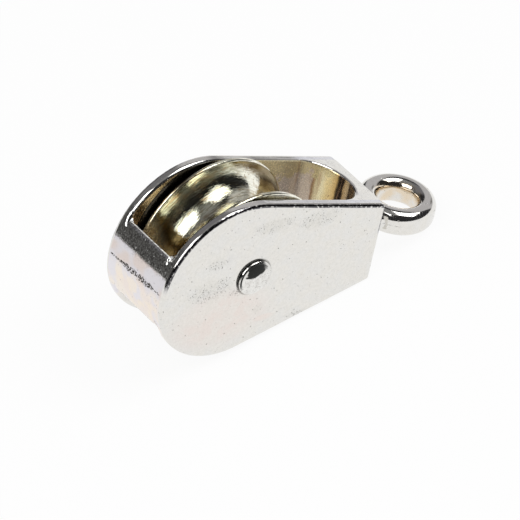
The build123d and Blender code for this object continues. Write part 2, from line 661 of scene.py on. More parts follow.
@dataclass
class FrameCasting:
    """The cast frame: two cheeks, a bridge, a cored pocket and an eye on a neck.

    A quarter of the skin is laid out as plain strips, settled onto the casting's form and
    mirrored across the two middle planes.
    """

    attitude: Attitude
    sizes: CastingSizes = field(default_factory=CastingSizes)
    grid: CastingGrid = field(default_factory=CastingGrid)

    def along_edge(self, u: Array) -> Array:
        """Gives the length along the outline from the middle of the nose to a place u.

        Args:
            u: Places along the centre line.

        Returns:
            Length along the nose arc, and past the touching point along the straight edge.
        """
        size = self.sizes
        touch_u = size.nose_radius * math.cos(size.touch_angle) - size.nose_setback
        turn = np.arccos(np.clip((u + size.nose_setback) / size.nose_radius, -1, 1))
        on_arc = size.nose_radius * (math.pi - turn)
        on_edge = size.nose_length + (u - touch_u) / math.sin(size.touch_angle)
        return np.where(u < touch_u, on_arc, on_edge)

    def on_skin(self, along: Array, y: Array) -> Array:
        """Places points on the side skin.

        Args:
            along: Length along the outline from the middle of the nose.
            y: Places along the axle.

        Returns:
            Points with a last axis of u, y and w.
        """
        size = self.sizes
        cos_touch, sin_touch = size.touch
        angle = math.pi - np.minimum(along, size.nose_length) / size.nose_radius
        past = np.maximum(along - size.nose_length, 0)
        u = size.nose_radius * np.cos(angle) - size.nose_setback + past * sin_touch
        w = size.nose_radius * np.sin(angle) - past * cos_touch
        return np.stack(np.broadcast_arrays(u, y, w), axis=-1)

    def corner_centre(self, inset: float, radius: float) -> tuple[float, float]:
        """Finds the centre of the end corner's round on an outline moved inwards.

        Args:
            inset: How far the outline is moved inwards.
            radius: Radius of the corner.

        Returns:
            The centre's u and w.
        """
        size = self.sizes
        u = size.end_reach - inset - radius
        edge = size.nose_radius - size.nose_setback * math.cos(size.touch_angle) - inset - radius
        return u, (edge - u * math.cos(size.touch_angle)) / math.sin(size.touch_angle)

    def rim_plan(self) -> tuple[Array, Array]:
        """Lays out the quarter of the pocket's plan at mid height.

        It runs along the flat back, round its corner, along the side and round the front.

        Returns:
            Points of u and y, and the direction in which the wall faces away from the pocket.
        """
        size, grid = self.sizes, self.grid
        start = size.pocket_half - size.pocket_corner
        back_y = spread(0, start, grid.back)[:-1]
        back = np.stack([np.full_like(back_y, size.pocket_back), back_y], axis=1)
        bend_one = spread(math.pi, 0.75 * math.pi, grid.inner_bend)[:-1]
        bend_two = spread(0.75 * math.pi, 0.5 * math.pi, grid.outer_bend)[:-1]
        bend = np.concatenate([bend_one, bend_two])
        bend_centre = (size.pocket_back + size.pocket_corner, start)
        side_u = spread(bend_centre[0], size.pocket_arc, grid.side)[:-1]
        side = np.stack([side_u, np.full_like(side_u, size.pocket_half)], axis=1)
        split = math.atan2(self.sizes.skin_edge, self.corner_centre(0, size.end_round)[0] - size.pocket_arc)
        arc_one = spread(0.5 * math.pi, split, grid.outer_arc)[:-1]
        arc = np.concatenate([arc_one, spread(split, 0, grid.front_arc)])
        bent = arc_points(bend_centre, size.pocket_corner, bend)
        front = arc_points((size.pocket_arc, 0), size.pocket_half, arc)
        plan = np.concatenate([back, bent, side, front])
        facing = [
            np.tile([-1.0, 0.0], (len(back), 1)),
            arc_points((0, 0), 1, bend),
            np.tile([0.0, 1.0], (len(side), 1)),
            arc_points((0, 0), 1, arc),
        ]
        return plan, np.concatenate(facing)

    def on_wall(self, plan: Array, facing: Array, w: Array) -> Array:
        """Places points on the drafted pocket wall.

        Args:
            plan: Points of u and y at mid height.
            facing: Direction of the wall at each of them.
            w: Heights off the middle.

        Returns:
            Points with a last axis of u, y and w.
        """
        moved = plan + facing * (w * self.sizes.draft)[..., None]
        return np.concatenate([moved, w[..., None]], axis=-1)

    def rim_height(self, plan: Array, facing: Array) -> Array:
        """Finds how high the pocket's wall stands where it meets the skin.

        The height of the skin over the wall's foot is a first guess, and it is worked out
        again where the draft takes the wall.

        Args:
            plan: Points of u and y at mid height.
            facing: Direction of the wall at each of them.

        Returns:
            One height for each point.
        """
        height = np.zeros(len(plan))
        for _ in range(8):
            u = plan[:, 0] + facing[:, 0] * height * self.sizes.draft
            height = self.on_skin(self.along_edge(u), 0)[..., 2]
        return height

    def cheek_row(self, along: Array, inset: float, y: float) -> Array:
        """Lays out one row of the cheek's round: nose and edge, end corner, end face.

        Args:
            along: Lengths along the outline up to the end corner.
            inset: How far the row lies inside the outline.
            y: Place of the row along the axle.

        Returns:
            Rows of u, y and w.
        """
        size, grid = self.sizes, self.grid
        radius = size.end_round * (1 - grid.corner_shrink * inset / size.cheek_round)
        centre = self.corner_centre(inset, radius)
        cos_touch, sin_touch = size.touch
        turn = math.pi - np.minimum(along, size.nose_length) / size.nose_radius
        nose = arc_points((-size.nose_setback, 0), size.nose_radius - inset, turn)
        stop = np.array([centre[0] + radius * cos_touch, centre[1] + radius * sin_touch])
        share = np.clip((along - size.nose_length) / (along[-1] - size.nose_length), 0, 1)[:, None]
        edge = nose + share * (stop - nose)
        corner = arc_points(centre, radius, spread(size.touch_angle, 0, grid.corner)[1:])
        end_w = spread(centre[1], 0, grid.end)[1:]
        end = np.stack([np.full_like(end_w, size.end_reach - inset), end_w], axis=1)
        row = np.concatenate([edge, corner, end])
        return np.insert(row, 1, y, axis=1)

    def neck_section(self) -> Array:
        """Lays out a quarter of the neck's section, from its side to its top.

        Returns:
            Rows of y and w, evenly spaced round the bar.
        """
        size, grid = self.sizes, self.grid
        radius = size.neck_height / 2
        flat = size.neck_width / 2 - radius
        bend = radius * math.pi / 2
        way = spread(0, bend + flat, grid.end + grid.front_arc)
        angle = np.minimum(way, bend) / radius
        y = flat + radius * np.cos(angle) - np.maximum(way - bend, 0)
        return np.stack([y, radius * np.sin(angle)], axis=1)

    def on_ring(self, turn: Array, girth: Array) -> Array:
        """Places points on the ring of the eye.

        The section has a straight land on each side and a half circle on top.

        Args:
            turn: Angle about the eye, from the side of the neck.
            girth: Length round the section from the middle of its outer land.

        Returns:
            Points with a last axis of u, y and w.
        """
        size = self.sizes
        radius = size.eye_bar_width / 2
        bend = np.clip((girth - size.eye_land) / radius, 0, math.pi)
        after = np.maximum(girth - size.eye_land - radius * math.pi, 0)
        reach = size.eye_mean_radius + radius * np.cos(bend)
        w = np.minimum(girth, size.eye_land) + radius * np.sin(bend) - after
        return np.stack(
            np.broadcast_arrays(size.eye_reach - reach * np.cos(turn), reach * np.sin(turn), w), axis=-1
        )

    def lay_pocket(self, quarter: MeshBuilder) -> tuple[Array, Array]:
        """Adds the skin round the pocket and the pocket's walls.

        Args:
            quarter: The mesh that the strips go into.

        Returns:
            The lengths along the outline at the cheek's seam, and the hole's inner edge.
        """
        size, grid = self.sizes, self.grid
        plan, facing = self.rim_plan()
        height = self.rim_height(plan, facing)
        rim = self.on_wall(plan, facing, height)
        rim_along = self.along_edge(rim[:, 0])
        bend_end = grid.back + grid.inner_bend
        side_start = bend_end + grid.outer_bend
        side_end = side_start + grid.side
        centre = self.corner_centre(0, size.end_round)
        skin_end = float(self.along_edge(centre[0] + size.end_round * math.cos(size.touch_angle)))

        nose_y = spread(0, size.skin_edge, bend_end)
        seam = np.concatenate([
            spread(0, rim_along[side_start], grid.outer_bend)[:-1],
            rim_along[side_start:side_end],
            spread(rim_along[side_end], skin_end, grid.outer_arc),
        ])
        end_y = spread(size.skin_edge, 0, grid.front_arc)
        edge_along = np.concatenate([np.zeros(bend_end), seam, np.full(grid.front_arc, skin_end)])
        edge_y = np.concatenate([nose_y[:-1], np.full(len(seam), size.skin_edge), end_y[1:]])
        share = levels(*grid.rim_gaps, *grid.skin_gaps)[:, None]
        along = rim_along + share * (edge_along - rim_along)
        y = rim[:, 1] + share * (edge_y - rim[:, 1])
        quarter.add(self.on_skin(along, y))

        corner = spread(size.touch_angle, 0, grid.corner)
        bent = arc_points(centre, size.end_round, corner)
        corner_rows = [np.insert(bent, 1, place, axis=1) for place in end_y]
        quarter.add(np.stack(corner_rows))

        dense = np.geomspace(grid.finest, 1, grid.rim_rows)
        drop = levels(*dense, *np.full(grid.wall - grid.rim_rows, 1.0))
        wall_w = height * (1 - drop[:, None])
        walls = self.on_wall(plan[None], facing[None], wall_w)
        quarter.add(walls[:, : side_start + 1])
        quarter.add(walls[:, side_end:])

        border = np.concatenate([
            walls[::-1, side_start][:-1],
            walls[0, side_start:side_end],
            walls[:, side_end],
        ])
        angle = np.arctan2(border[:, 2], border[:, 0])
        hole = arc_points((0, 0), size.hole_radius, angle)
        hole_edge = np.stack([hole[:, 0], size.pocket_half + hole[:, 1] * size.draft, hole[:, 1]], axis=1)
        inner = levels(*np.geomspace(grid.finest, 1, grid.hole_rows), *grid.hole_gaps)
        quarter.add(between(border, hole_edge, inner))
        return seam, hole_edge

    def lay_cheek(self, quarter: MeshBuilder, seam: Array, hole_edge: Array) -> None:
        """Adds the cheek's round, its flat face and the axle hole.

        Args:
            quarter: The mesh that the strips go into.
            seam: Lengths along the outline up to the end corner.
            hole_edge: Edge of the axle hole on the pocket's wall.
        """
        size, grid = self.sizes, self.grid
        rows = []
        for turn in spread(0, math.pi / 2, grid.cheek_round):
            inset = size.cheek_round * (1 - math.cos(turn))
            rows.append(self.cheek_row(seam, inset, size.skin_edge + size.cheek_round * math.sin(turn)))
        quarter.add(np.stack(rows))
        border = rows[-1]
        angle = np.arctan2(border[:, 2], border[:, 0])
        hole = arc_points((0, 0), size.hole_radius, angle)
        outer_edge = np.insert(hole, 1, size.width / 2, axis=1)
        quarter.add(between(border, outer_edge, levels(*grid.cheek_gaps)))
        tube = between(hole_edge, outer_edge, spread(0, 1, grid.hole))
        reach = np.hypot(tube[..., 0], tube[..., 2])
        tube[..., 0] *= size.hole_radius / reach
        tube[..., 2] *= size.hole_radius / reach
        quarter.add(tube)

    def lay_eye(self, quarter: MeshBuilder) -> None:
        """Adds the end face, the neck and the ring.

        Args:
            quarter: The mesh that the strips go into.
        """
        size, grid = self.sizes, self.grid
        section = self.neck_section()
        root = np.insert(section, 0, size.end_reach, axis=1)
        centre = self.corner_centre(0, size.end_round)
        side_w = spread(0, centre[1], grid.end)
        top_y = spread(size.skin_edge, 0, grid.front_arc)[1:]
        border_y = np.concatenate([np.full(len(side_w), size.skin_edge), top_y])
        border_w = np.concatenate([side_w, np.full(len(top_y), centre[1])])
        border = np.stack([np.full_like(border_y, size.end_reach), border_y, border_w], axis=1)
        quarter.add(between(root, border, levels(*grid.end_gaps)))

        y, w = section.T
        radius = size.eye_bar_width / 2
        over = np.maximum(w - size.eye_land, 0)
        reach = size.eye_mean_radius + np.sqrt(radius**2 - over**2)
        turn = np.arcsin(y / reach)
        girth = np.minimum(w, size.eye_land) + radius * np.arcsin(over / radius)
        meeting = self.on_ring(turn, girth)
        neck_gaps = (*grid.neck_gaps, grid.neck_gaps[-1], *grid.neck_gaps[::-1])
        quarter.add(between(root, meeting, levels(*neck_gaps)))

        far_turn, far_girth = math.radians(grid.far_turn), grid.far_girth
        side_girth = far_girth * spread(0, 1, grid.end) ** grid.crowding
        top_turn = spread(far_turn, 0, grid.front_arc)
        border_turn = np.concatenate([np.full(grid.end, far_turn), top_turn])
        border_girth = np.concatenate([side_girth[:-1], np.full(len(top_turn), far_girth)])
        share = levels(*grid.eye_gaps)[:, None]
        quarter.add(self.on_ring(turn + share * (border_turn - turn), girth + share * (border_girth - girth)))

        ring_turn = spread(far_turn, math.pi, grid.ring)
        quarter.add(self.on_ring(ring_turn[:, None], side_girth[None]))
        full_girth = 2 * size.eye_land + radius * math.pi
        whole_turn = np.concatenate([top_turn[::-1], ring_turn[1:]])
        inner_girth = spread(far_girth, full_girth, grid.inner_ring)
        quarter.add(self.on_ring(whole_turn[:, None], inner_girth[None]))

    def quarter_skin(self) -> tuple[Array, Array]:
        """Lays out and settles the quarter of the skin with y and w above zero.

        Returns:
            Points of u, y and w, and quads.
        """
        quarter = MeshBuilder()
        seam, hole_edge = self.lay_pocket(quarter)
        self.lay_cheek(quarter, seam, hole_edge)
        self.lay_eye(quarter)
        points, quads = quarter.gathered()
        form = CastingForm(self.sizes)
        return settle(form.distance, points), quads

    def build(self) -> Object:
        """Makes the casting's mesh.

        Returns:
            The object, in its place in the scene.
        """
        points, quads = self.quarter_skin()
        flips = [np.array([1, y, w]) for y in (1, -1) for w in (1, -1)]
        whole = np.concatenate([points * flip for flip in flips])
        steps = np.arange(len(flips)) * len(points)
        faces = np.concatenate([quads + step for step in steps])
        whole, faces = weld(whole, faces)
        form = CastingForm(self.sizes)
        whole = settle(form.finished, whole, rounds=3)
        normals = slope_of(form.finished, whole)
        normals /= np.linalg.norm(normals, axis=1)[:, None]
        faces = facing_out(whole, faces, normals)
        return mesh_object("cast_frame", self.attitude.place(whole), faces, self.attitude.place(normals) / MM)


# Sheave and rivet

def turned(profile: Array, turns: int) -> tuple[Array, list[list[int]]]:
    """Carries a profile round the axle.

    A point at place y and radius r goes to u = r cos(turn), y, w = r sin(turn).

    Args:
        profile: Rows of y and radius, from one end to the other.
        turns: How many steps make the full turn.

    Returns:
        Points of u, y and w, and the faces as lists of point numbers.
    """
    turn = np.arange(turns) * 2 * math.pi / turns
    y, radius = profile[:, :1], profile[:, 1:]
    grid = np.stack(np.broadcast_arrays(radius * np.cos(turn), y, radius * np.sin(turn)), axis=-1)
    surface = MeshBuilder()
    surface.add(grid, closed=True)
    return weld(*surface.gathered())


def mirrored_profile(half: Array) -> Array:
    """Adds the other half of a profile, from its last point back to its first.

    Args:
        half: Rows of y and radius, ending in the middle plane.

    Returns:
        The whole profile.
    """
    return np.concatenate([half, half[-2::-1] * np.array([-1, 1])])


def run(start: tuple[float, float], stop: tuple[float, float], count: int) -> Array:
    """Gives evenly spaced points from start to stop, without the last."""
    return np.linspace(start, stop, count + 1)[:-1]


@dataclass
class Sheave:
    """The brass wheel: two rims with a half-round rope groove between them.

    Sizes are in millimetres. The diameter and the width come from the frame.
    """

    diameter: float
    width: float
    bore: float = 3.08
    bore_chamfer: float = 0.6
    rim_land: float = 1.0
    rim_round: float = 0.4
    side_margin: float = 0.05
    round_steps: int = 7
    groove_steps: int = 34
    turns: int = 360
    ripple: Ripple = Ripple(wavelength=6.0, height=0.004, waves=10, seed=21)

    def profile(self) -> Array:
        """Lays out the section: bore, side, rounded rim and half-round groove.

        The groove's circle is centred at the rim's radius. The inner round of the rim
        touches the rim's land and that circle.

        Returns:
            Rows of y and radius round the whole section, which closes on itself.
        """
        side, rim = self.width / 2, self.diameter / 2
        groove = side - self.rim_land
        shoulder = rim - self.rim_round
        inner = math.sqrt((groove + self.rim_round) ** 2 - self.rim_round**2)
        lean = math.asin(self.rim_round / (groove + self.rim_round))
        face = self.bore + self.bore_chamfer
        outer_bend = spread(0, math.pi / 2, self.round_steps)
        outer = arc_points((side - self.rim_round, shoulder), self.rim_round, outer_bend)
        inner_bend = spread(math.pi / 2, math.pi - lean, self.round_steps)
        inside = arc_points((inner, shoulder), self.rim_round, inner_bend)
        hollow = arc_points((0, rim), groove, spread(-lean, -math.pi / 2, self.groove_steps))
        half = np.concatenate([
            run((0, self.bore), (side - self.bore_chamfer, self.bore), 6),
            run((side - self.bore_chamfer, self.bore), (side, face), 3),
            run((side, face), (side, shoulder), 10),
            outer,
            run(tuple(outer[-1]), tuple(inside[0]), 2)[1:],
            inside[:-1],
            hollow,
        ])
        return mirrored_profile(half)

    def build(self) -> Object:
        """Makes the wheel's mesh.

        Returns:
            The object, on the axle line.
        """
        points, faces = turned(self.profile(), self.turns)
        reach = np.hypot(points[:, 0], points[:, 2])
        out = points * np.array([1, 0, 1]) / reach[:, None]
        off_sides = np.abs(points[:, 1]) < self.width / 2 - self.side_margin
        uneven = rising(reach, self.diameter / 3, 2) * off_sides
        points = points + out * (self.ripple.at(points) * uneven)[:, None]
        return wheel_object("brass_sheave", points, faces)


def wheel_object(name: str, points: Array, faces: list) -> Object:
    """Makes a mesh object of a turned piece, whose axes are those of the scene.

    Args:
        name: Name of the object.
        points: Rows of coordinates in millimetres.
        faces: Lists of point numbers.

    Returns:
        The object, with outward faces.
    """
    piece = mesh_object(name, points * MM, faces)
    shape = bmesh.new()
    shape.from_mesh(piece.data)
    bmesh.ops.recalc_face_normals(shape, faces=shape.faces)
    shape.to_mesh(piece.data)
    shape.free()
    piece.data.shade_smooth()
    return piece


@dataclass
class AxleRivet:
    """The axle: a plain shank with a low domed head on each cheek.

    Sizes are in millimetres. The length and the heads' diameter come from the frame.
    """

    length: float
    head_diameter: float
    shank: float = 6.0
    head_height: float = 1.4
    crown: float = 0.75
    edge_round: float = 0.35
    dome_steps: int = 26
    round_steps: int = 8
    turns: int = 180
    ripple: Ripple = Ripple(wavelength=2.6, height=0.006, waves=12, seed=5)

    def profile(self) -> Array:
        """Lays out the section: domed face, rounded edge, side, seat and shank.

        The dome is part of a sphere. The edge's round touches the dome and the side.

        Returns:
            Rows of y and radius from one dome's middle to the other's.
        """
        top, edge = self.length / 2, self.head_diameter / 2
        seat = top - self.head_height
        sphere = (edge**2 + self.crown**2) / (2 * self.crown)
        centre = top - sphere
        round_out = edge - self.edge_round
        round_up = centre + math.sqrt((sphere - self.edge_round) ** 2 - round_out**2)
        lean = math.asin(round_out / (sphere - self.edge_round))
        dome = arc_points((centre, 0), sphere, spread(0, lean, self.dome_steps))
        bend = spread(lean, math.pi / 2, self.round_steps)
        side = arc_points((round_up, round_out), self.edge_round, bend)
        half = np.concatenate([
            dome[:-1],
            side,
            run((round_up, edge), (seat, edge), 5)[1:],
            run((seat, edge), (seat, self.shank / 2), 5),
            run((seat, self.shank / 2), (0, self.shank / 2), 8),
            np.array([[0, self.shank / 2]]),
        ])
        return mirrored_profile(half)

    def build(self) -> Object:
        """Makes the rivet's mesh.

        Returns:
            The object, on the axle line.
        """
        points, faces = turned(self.profile(), self.turns)
        on_head = rising(np.abs(points[:, 1]), self.length / 2 - self.head_height, 0.3)
        points[:, 1] += np.sign(points[:, 1]) * self.ripple.at(points) * on_head
        return wheel_object("riveted_axle", points, faces)


# Materials

Socket = NodeSocket
Triple = tuple[float, float, float]
Colour = Triple
Stops = tuple[tuple[float, Colour], ...]


class Slot(Enum):
    """Names of material slots for the frame, the sheave and the rivet."""

    FRAME = "plated_frame"
    SHEAVE = "brass_sheave"
    RIVET = "plated_rivet"


def opaque(colour: Colour) -> tuple[float, float, float, float]:
    """Adds full opacity to a colour."""
    return (*colour, 1.0)


def new_material(name: str) -> Material:
    """Makes a material with a node tree."""
    material = bpy.data.materials.new(name)
    material.use_nodes = True
    return material


class NodeSheet:
    """Puts nodes into a node tree and joins them."""

    def __init__(self, tree: NodeTree) -> None:
        """Clears the tree and keeps it.

        Args:
            tree: The node tree to fill.
        """
        tree.nodes.clear()
        self.tree = tree

    def put(self, kind: str, settings: dict | None = None, **inputs) -> Node:
        """Adds a node.

        Args:
            kind: The node's type.
            settings: Its options by name.
            **inputs: A value or a socket for each input, with low lines for spaces.

        Returns:
            The node.
        """
        node = self.tree.nodes.new(kind)
        for name, value in (settings or {}).items():
            setattr(node, name, value)
        for name, value in inputs.items():
            self.feed(node.inputs[name.replace("_", " ")], value)
        return node

    def feed(self, socket: Socket, value: object) -> None:
        """Links a socket to an input, or sets the input's own value."""
        if isinstance(value, NodeSocket):
            self.tree.links.new(value, socket)
        else:
            socket.default_value = value

    def effect(self, group: NodeTree, vector: Socket, **inputs) -> Socket:
        """Places an effect group with its own values and gives its result."""
        return self.put("ShaderNodeGroup", {"node_tree": group}, Vector=vector, **inputs).outputs[0]

    def operate(self, kind: str, operation: str, *values: object) -> Node:
        """Adds a node of a kind that has several operations."""
        node = self.put(kind, {"operation": operation})
        for socket, value in zip(node.inputs, values):
            self.feed(socket, value)
        return node

    def math(self, operation: str, *values: object) -> Socket:
        """Adds an operation on numbers and gives its result."""
        return self.operate("ShaderNodeMath", operation, *values).outputs["Value"]

    def chain(self, operation: str, *values: object) -> Socket:
        """Applies an operation to two or more numbers in turn and gives the result."""
        result = values[0]
        for value in values[1:]:
            result = self.math(operation, result, value)
        return result

    def times(self, *values: object) -> Socket:
        """Multiplies numbers."""
        return self.chain("MULTIPLY", *values)

    def plus(self, *values: object) -> Socket:
        """Adds numbers up."""
        return self.chain("ADD", *values)

    def less(self, *values: object) -> Socket:
        """Takes each later number from the first."""
        return self.chain("SUBTRACT", *values)

    def greatest(self, *values: object) -> Socket:
        """Gives the greatest of some numbers."""
        return self.chain("MAXIMUM", *values)

    def times_plus(self, value: object, factor: object, rest: object) -> Socket:
        """Multiplies a number by a factor and adds the rest."""
        return self.math("MULTIPLY_ADD", value, factor, rest)

    def gap(self, first: object, second: object) -> Socket:
        """Gives how far apart two numbers are."""
        return self.math("ABSOLUTE", self.less(first, second))

    def squares(self, first: object, second: object) -> Socket:
        """Adds the squares of two numbers."""
        return self.plus(self.math("POWER", first, 2.0), self.math("POWER", second, 2.0))

    def length(self, first: object, second: object) -> Socket:
        """Gives the distance that two steps at right angles make."""
        return self.math("SQRT", self.squares(first, second))

    def rise(self, value: object, low: float, high: float, start: float = 0.0, stop: float = 1.0) -> Socket:
        """Maps a value smoothly from start at low to stop at high."""
        node = self.put(
            "ShaderNodeMapRange",
            {"interpolation_type": "SMOOTHSTEP"},
            Value=value,
            From_Min=low,
            From_Max=high,
            To_Min=start,
            To_Max=stop,
        )
        return node.outputs["Result"]

    def mix(self, share: object, first: object, second: object) -> Socket:
        """Mixes two colours and gives the result."""
        node = self.put("ShaderNodeMix", {"data_type": "RGBA"})
        colours = [socket for socket in node.inputs if socket.type == "RGBA"]
        self.feed(node.inputs["Factor"], share)
        for socket, value in zip(colours, (first, second)):
            self.feed(socket, opaque(value) if isinstance(value, tuple) else value)
        return next(socket for socket in node.outputs if socket.type == "RGBA")

    def coats(self, base: object, *coats: tuple[object, object]) -> Socket:
        """Lays coats over a colour, each with its share and its own colour."""
        for share, colour in coats:
            base = self.mix(share, base, colour)
        return base

    def layers(self, height: Socket, *layers: tuple[Socket, float]) -> Socket:
        """Raises a height by layers, each with its mask and its thickness in millimetres."""
        for mask, thickness in layers:
            height = self.times_plus(mask, thickness, height)
        return height

    def ramp(self, value: Socket, stops: Stops) -> Socket:
        """Gives a colour from a row of stops by a value between 0 and 1."""
        node = self.put("ShaderNodeValToRGB", Fac=value)
        row = node.color_ramp.elements
        for _ in stops[2:]:
            row.new(0.5)
        for element, (place, colour) in zip(row, stops):
            element.position = place
            element.color = opaque(colour)
        return node.outputs["Color"]

    def noise(self, vector: Socket, scale: object, detail: float = 2.0, roughness: float = 0.5) -> Socket:
        """Adds a noise pattern and gives its strength."""
        node = self.put("ShaderNodeTexNoise", Vector=vector, Scale=scale, Detail=detail, Roughness=roughness)
        return node.outputs["Fac"]

    def stretched(self, vector: Socket, turn: Triple, reach: Triple) -> Socket:
        """Turns a pattern's coordinates and divides them by a reach along each axis."""
        settings = {"vector_type": "TEXTURE"}
        node = self.put("ShaderNodeMapping", settings, Vector=vector, Rotation=turn, Scale=reach)
        return node.outputs["Vector"]

    def wobbled(self, vector: Socket, scale: float, amount: float) -> Socket:
        """Moves a pattern's coordinates to and fro by a noise, so that its edges wander."""
        shift = self.put("ShaderNodeTexNoise", Vector=vector, Scale=scale, Detail=2.0).outputs["Color"]
        centred = self.operate("ShaderNodeVectorMath", "SUBTRACT", shift, (0.5,) * 3).outputs["Vector"]
        moved = self.operate("ShaderNodeVectorMath", "MULTIPLY_ADD", centred, (amount,) * 3, vector)
        return moved.outputs["Vector"]

    def split(self, vector: Socket) -> tuple[Socket, Socket, Socket]:
        """Gives a vector's three parts."""
        node = self.put("ShaderNodeSeparateXYZ", Vector=vector)
        return node.outputs["X"], node.outputs["Y"], node.outputs["Z"]

    def join(self, x: object, y: object, z: object) -> Socket:
        """Makes a vector from three parts."""
        return self.put("ShaderNodeCombineXYZ", X=x, Y=y, Z=z).outputs["Vector"]

    def bumped(self, height: Socket) -> Socket:
        """Gives the normal of a skin whose height is in millimetres."""
        return self.put("ShaderNodeBump", Height=height, Distance=MM, Strength=1.0).outputs["Normal"]

    def end_in_metal(self, colour: Socket, metallic: object, rough: Socket, height: Socket) -> None:
        """Ends a material's sheet in its shader.

        Args:
            colour: Colour of the metal.
            metallic: 1 for bare metal, and less where something lies on it.
            rough: Its roughness.
            height: Height of its skin in millimetres.
        """
        shader = self.put(
            "ShaderNodeBsdfPrincipled",
            Base_Color=colour,
            Metallic=metallic,
            Roughness=rough,
            Normal=self.bumped(height),
        )
        self.put("ShaderNodeOutputMaterial", Surface=shader.outputs["BSDF"])


@dataclass(frozen=True)
class EffectGroup:
    """A surface effect as a shader node group with a vector, named numbers and one result."""

    name: str
    numbers: tuple[str, ...]
    result: str

    def build(self, fill: Callable[[NodeSheet, dict[str, Socket]], Socket]) -> NodeTree:
        """Makes the group.

        Args:
            fill: Function that adds the nodes and gives the result.

        Returns:
            The group's node tree.
        """
        tree = bpy.data.node_groups.new(self.name, "ShaderNodeTree")
        sheet = NodeSheet(tree)
        tree.interface.new_socket(name="Vector", in_out="INPUT", socket_type="NodeSocketVector")
        for name in self.numbers:
            tree.interface.new_socket(name=name, in_out="INPUT", socket_type="NodeSocketFloat")
        tree.interface.new_socket(name=self.result, in_out="OUTPUT", socket_type="NodeSocketFloat")
        entry = sheet.put("NodeGroupInput").outputs
        result = fill(sheet, {name: entry[name] for name in ("Vector", *self.numbers)})
        sheet.put("NodeGroupOutput", **{self.result: result})
        return tree


def fill_scratches(sheet: NodeSheet, entry: dict[str, Socket]) -> Socket:
    """Draws fine hair scratches in three directions.

    Each direction is a noise stretched to long thin grains, of which only the highest show.
    A wide noise breaks the whole up into scratched and clean areas.
    """
    turns = ((0.2, 0.5, 0.1), (0.0, -0.7, 0.6), (0.4, 1.5, -0.3))
    drawn = []
    for turn in turns:
        grains = sheet.stretched(entry["Vector"], turn, (5.0, 0.22, 0.22))
        drawn.append(sheet.rise(sheet.noise(grains, 1.0, detail=1.0), 0.66, 0.74))
    area = sheet.rise(sheet.noise(entry["Vector"], 0.3), 0.4, 0.65)
    return sheet.times(sheet.greatest(*drawn), area, entry["Amount"])


def fill_pits(sheet: NodeSheet, entry: dict[str, Socket]) -> Socket:
    """Draws small pits: the middles of cells, in the share of the cells that is asked for."""
    place = sheet.wobbled(entry["Vector"], 3.0, 0.35)
    cells = sheet.put("ShaderNodeTexVoronoi", {"feature": "F1"}, Vector=place, Scale=entry["Scale"])
    middle = sheet.rise(cells.outputs["Distance"], 0.16, 0.42, 1.0, 0.0)
    chance = sheet.split(cells.outputs["Color"])[0]
    picked = sheet.math("LESS_THAN", chance, entry["Share"])
    return sheet.times(middle, picked)


def fill_patches(sheet: NodeSheet, entry: dict[str, Socket]) -> Socket:
    """Draws soft cloudy patches of a given scale, as a value from 0 to 1."""
    place = sheet.wobbled(entry["Vector"], 0.6, 0.8)
    clouds = sheet.noise(place, entry["Scale"], detail=4.0, roughness=0.6)
    return sheet.rise(clouds, 0.38, 0.64)


def fill_skin(sheet: NodeSheet, entry: dict[str, Socket]) -> Socket:
    """Gives the height of a plated skin: slow waves, and a fine grain on them."""
    waves = sheet.times(sheet.noise(entry["Vector"], 0.42, detail=1.0), entry["Waves"])
    grain = sheet.times(sheet.noise(entry["Vector"], 2.6, detail=3.0), entry["Grain"])
    return sheet.plus(waves, grain)


@dataclass(frozen=True)
class Effects:
    """The surface effects that the finishes share."""

    scratches: NodeTree
    pits: NodeTree
    patches: NodeTree
    skin: NodeTree

    @classmethod
    def build(cls) -> "Effects":
        """Makes each group once."""
        return cls(
            scratches=EffectGroup("hair_scratches", ("Amount",), "Mask").build(fill_scratches),
            pits=EffectGroup("casting_pits", ("Scale", "Share"), "Mask").build(fill_pits),
            patches=EffectGroup("soft_patches", ("Scale",), "Value").build(fill_patches),
            skin=EffectGroup("plated_skin", ("Waves", "Grain"), "Height").build(fill_skin),
        )


@dataclass(frozen=True)
class Cloud:
    """A soft-edged oval patch on the side view of the block, in millimetres."""

    u: float
    w: float
    half_long: float
    half_high: float

    def mask(self, sheet: NodeSheet, u: Socket, w: Socket) -> Socket:
        """Draws the patch.

        Args:
            sheet: The sheet to draw on.
            u: Place along the centre line.
            w: Place across it.

        Returns:
            1 in the middle of the patch and 0 at its rim and outside.
        """
        along = sheet.math("DIVIDE", sheet.less(u, self.u), self.half_long)
        across = sheet.math("DIVIDE", sheet.less(w, self.w), self.half_high)
        return sheet.rise(sheet.squares(along, across), 0.05, 1.0, 1.0, 0.0)


class BlockSheet(NodeSheet):
    """A node sheet with the block's own coordinates in millimetres at hand."""

    def __init__(self, tree: NodeTree, attitude: Attitude) -> None:
        """Clears the tree and works out the coordinates.

        Args:
            tree: The node tree to fill.
            attitude: How the block lies.
        """
        super().__init__(tree)
        lie = math.atan2(-attitude.centre_line[2], attitude.centre_line[0])
        coordinates = self.put("ShaderNodeTexCoord").outputs["Object"]
        turned_back = self.put(
            "ShaderNodeMapping", Vector=coordinates, Rotation=(0.0, -lie, 0.0), Scale=(1 / MM,) * 3
        )
        self.place = turned_back.outputs["Vector"]
        self.u, self.y, self.w = self.split(self.place)
        self.side = self.math("ABSOLUTE", self.y)
        self.from_axle = self.length(self.u, self.w)


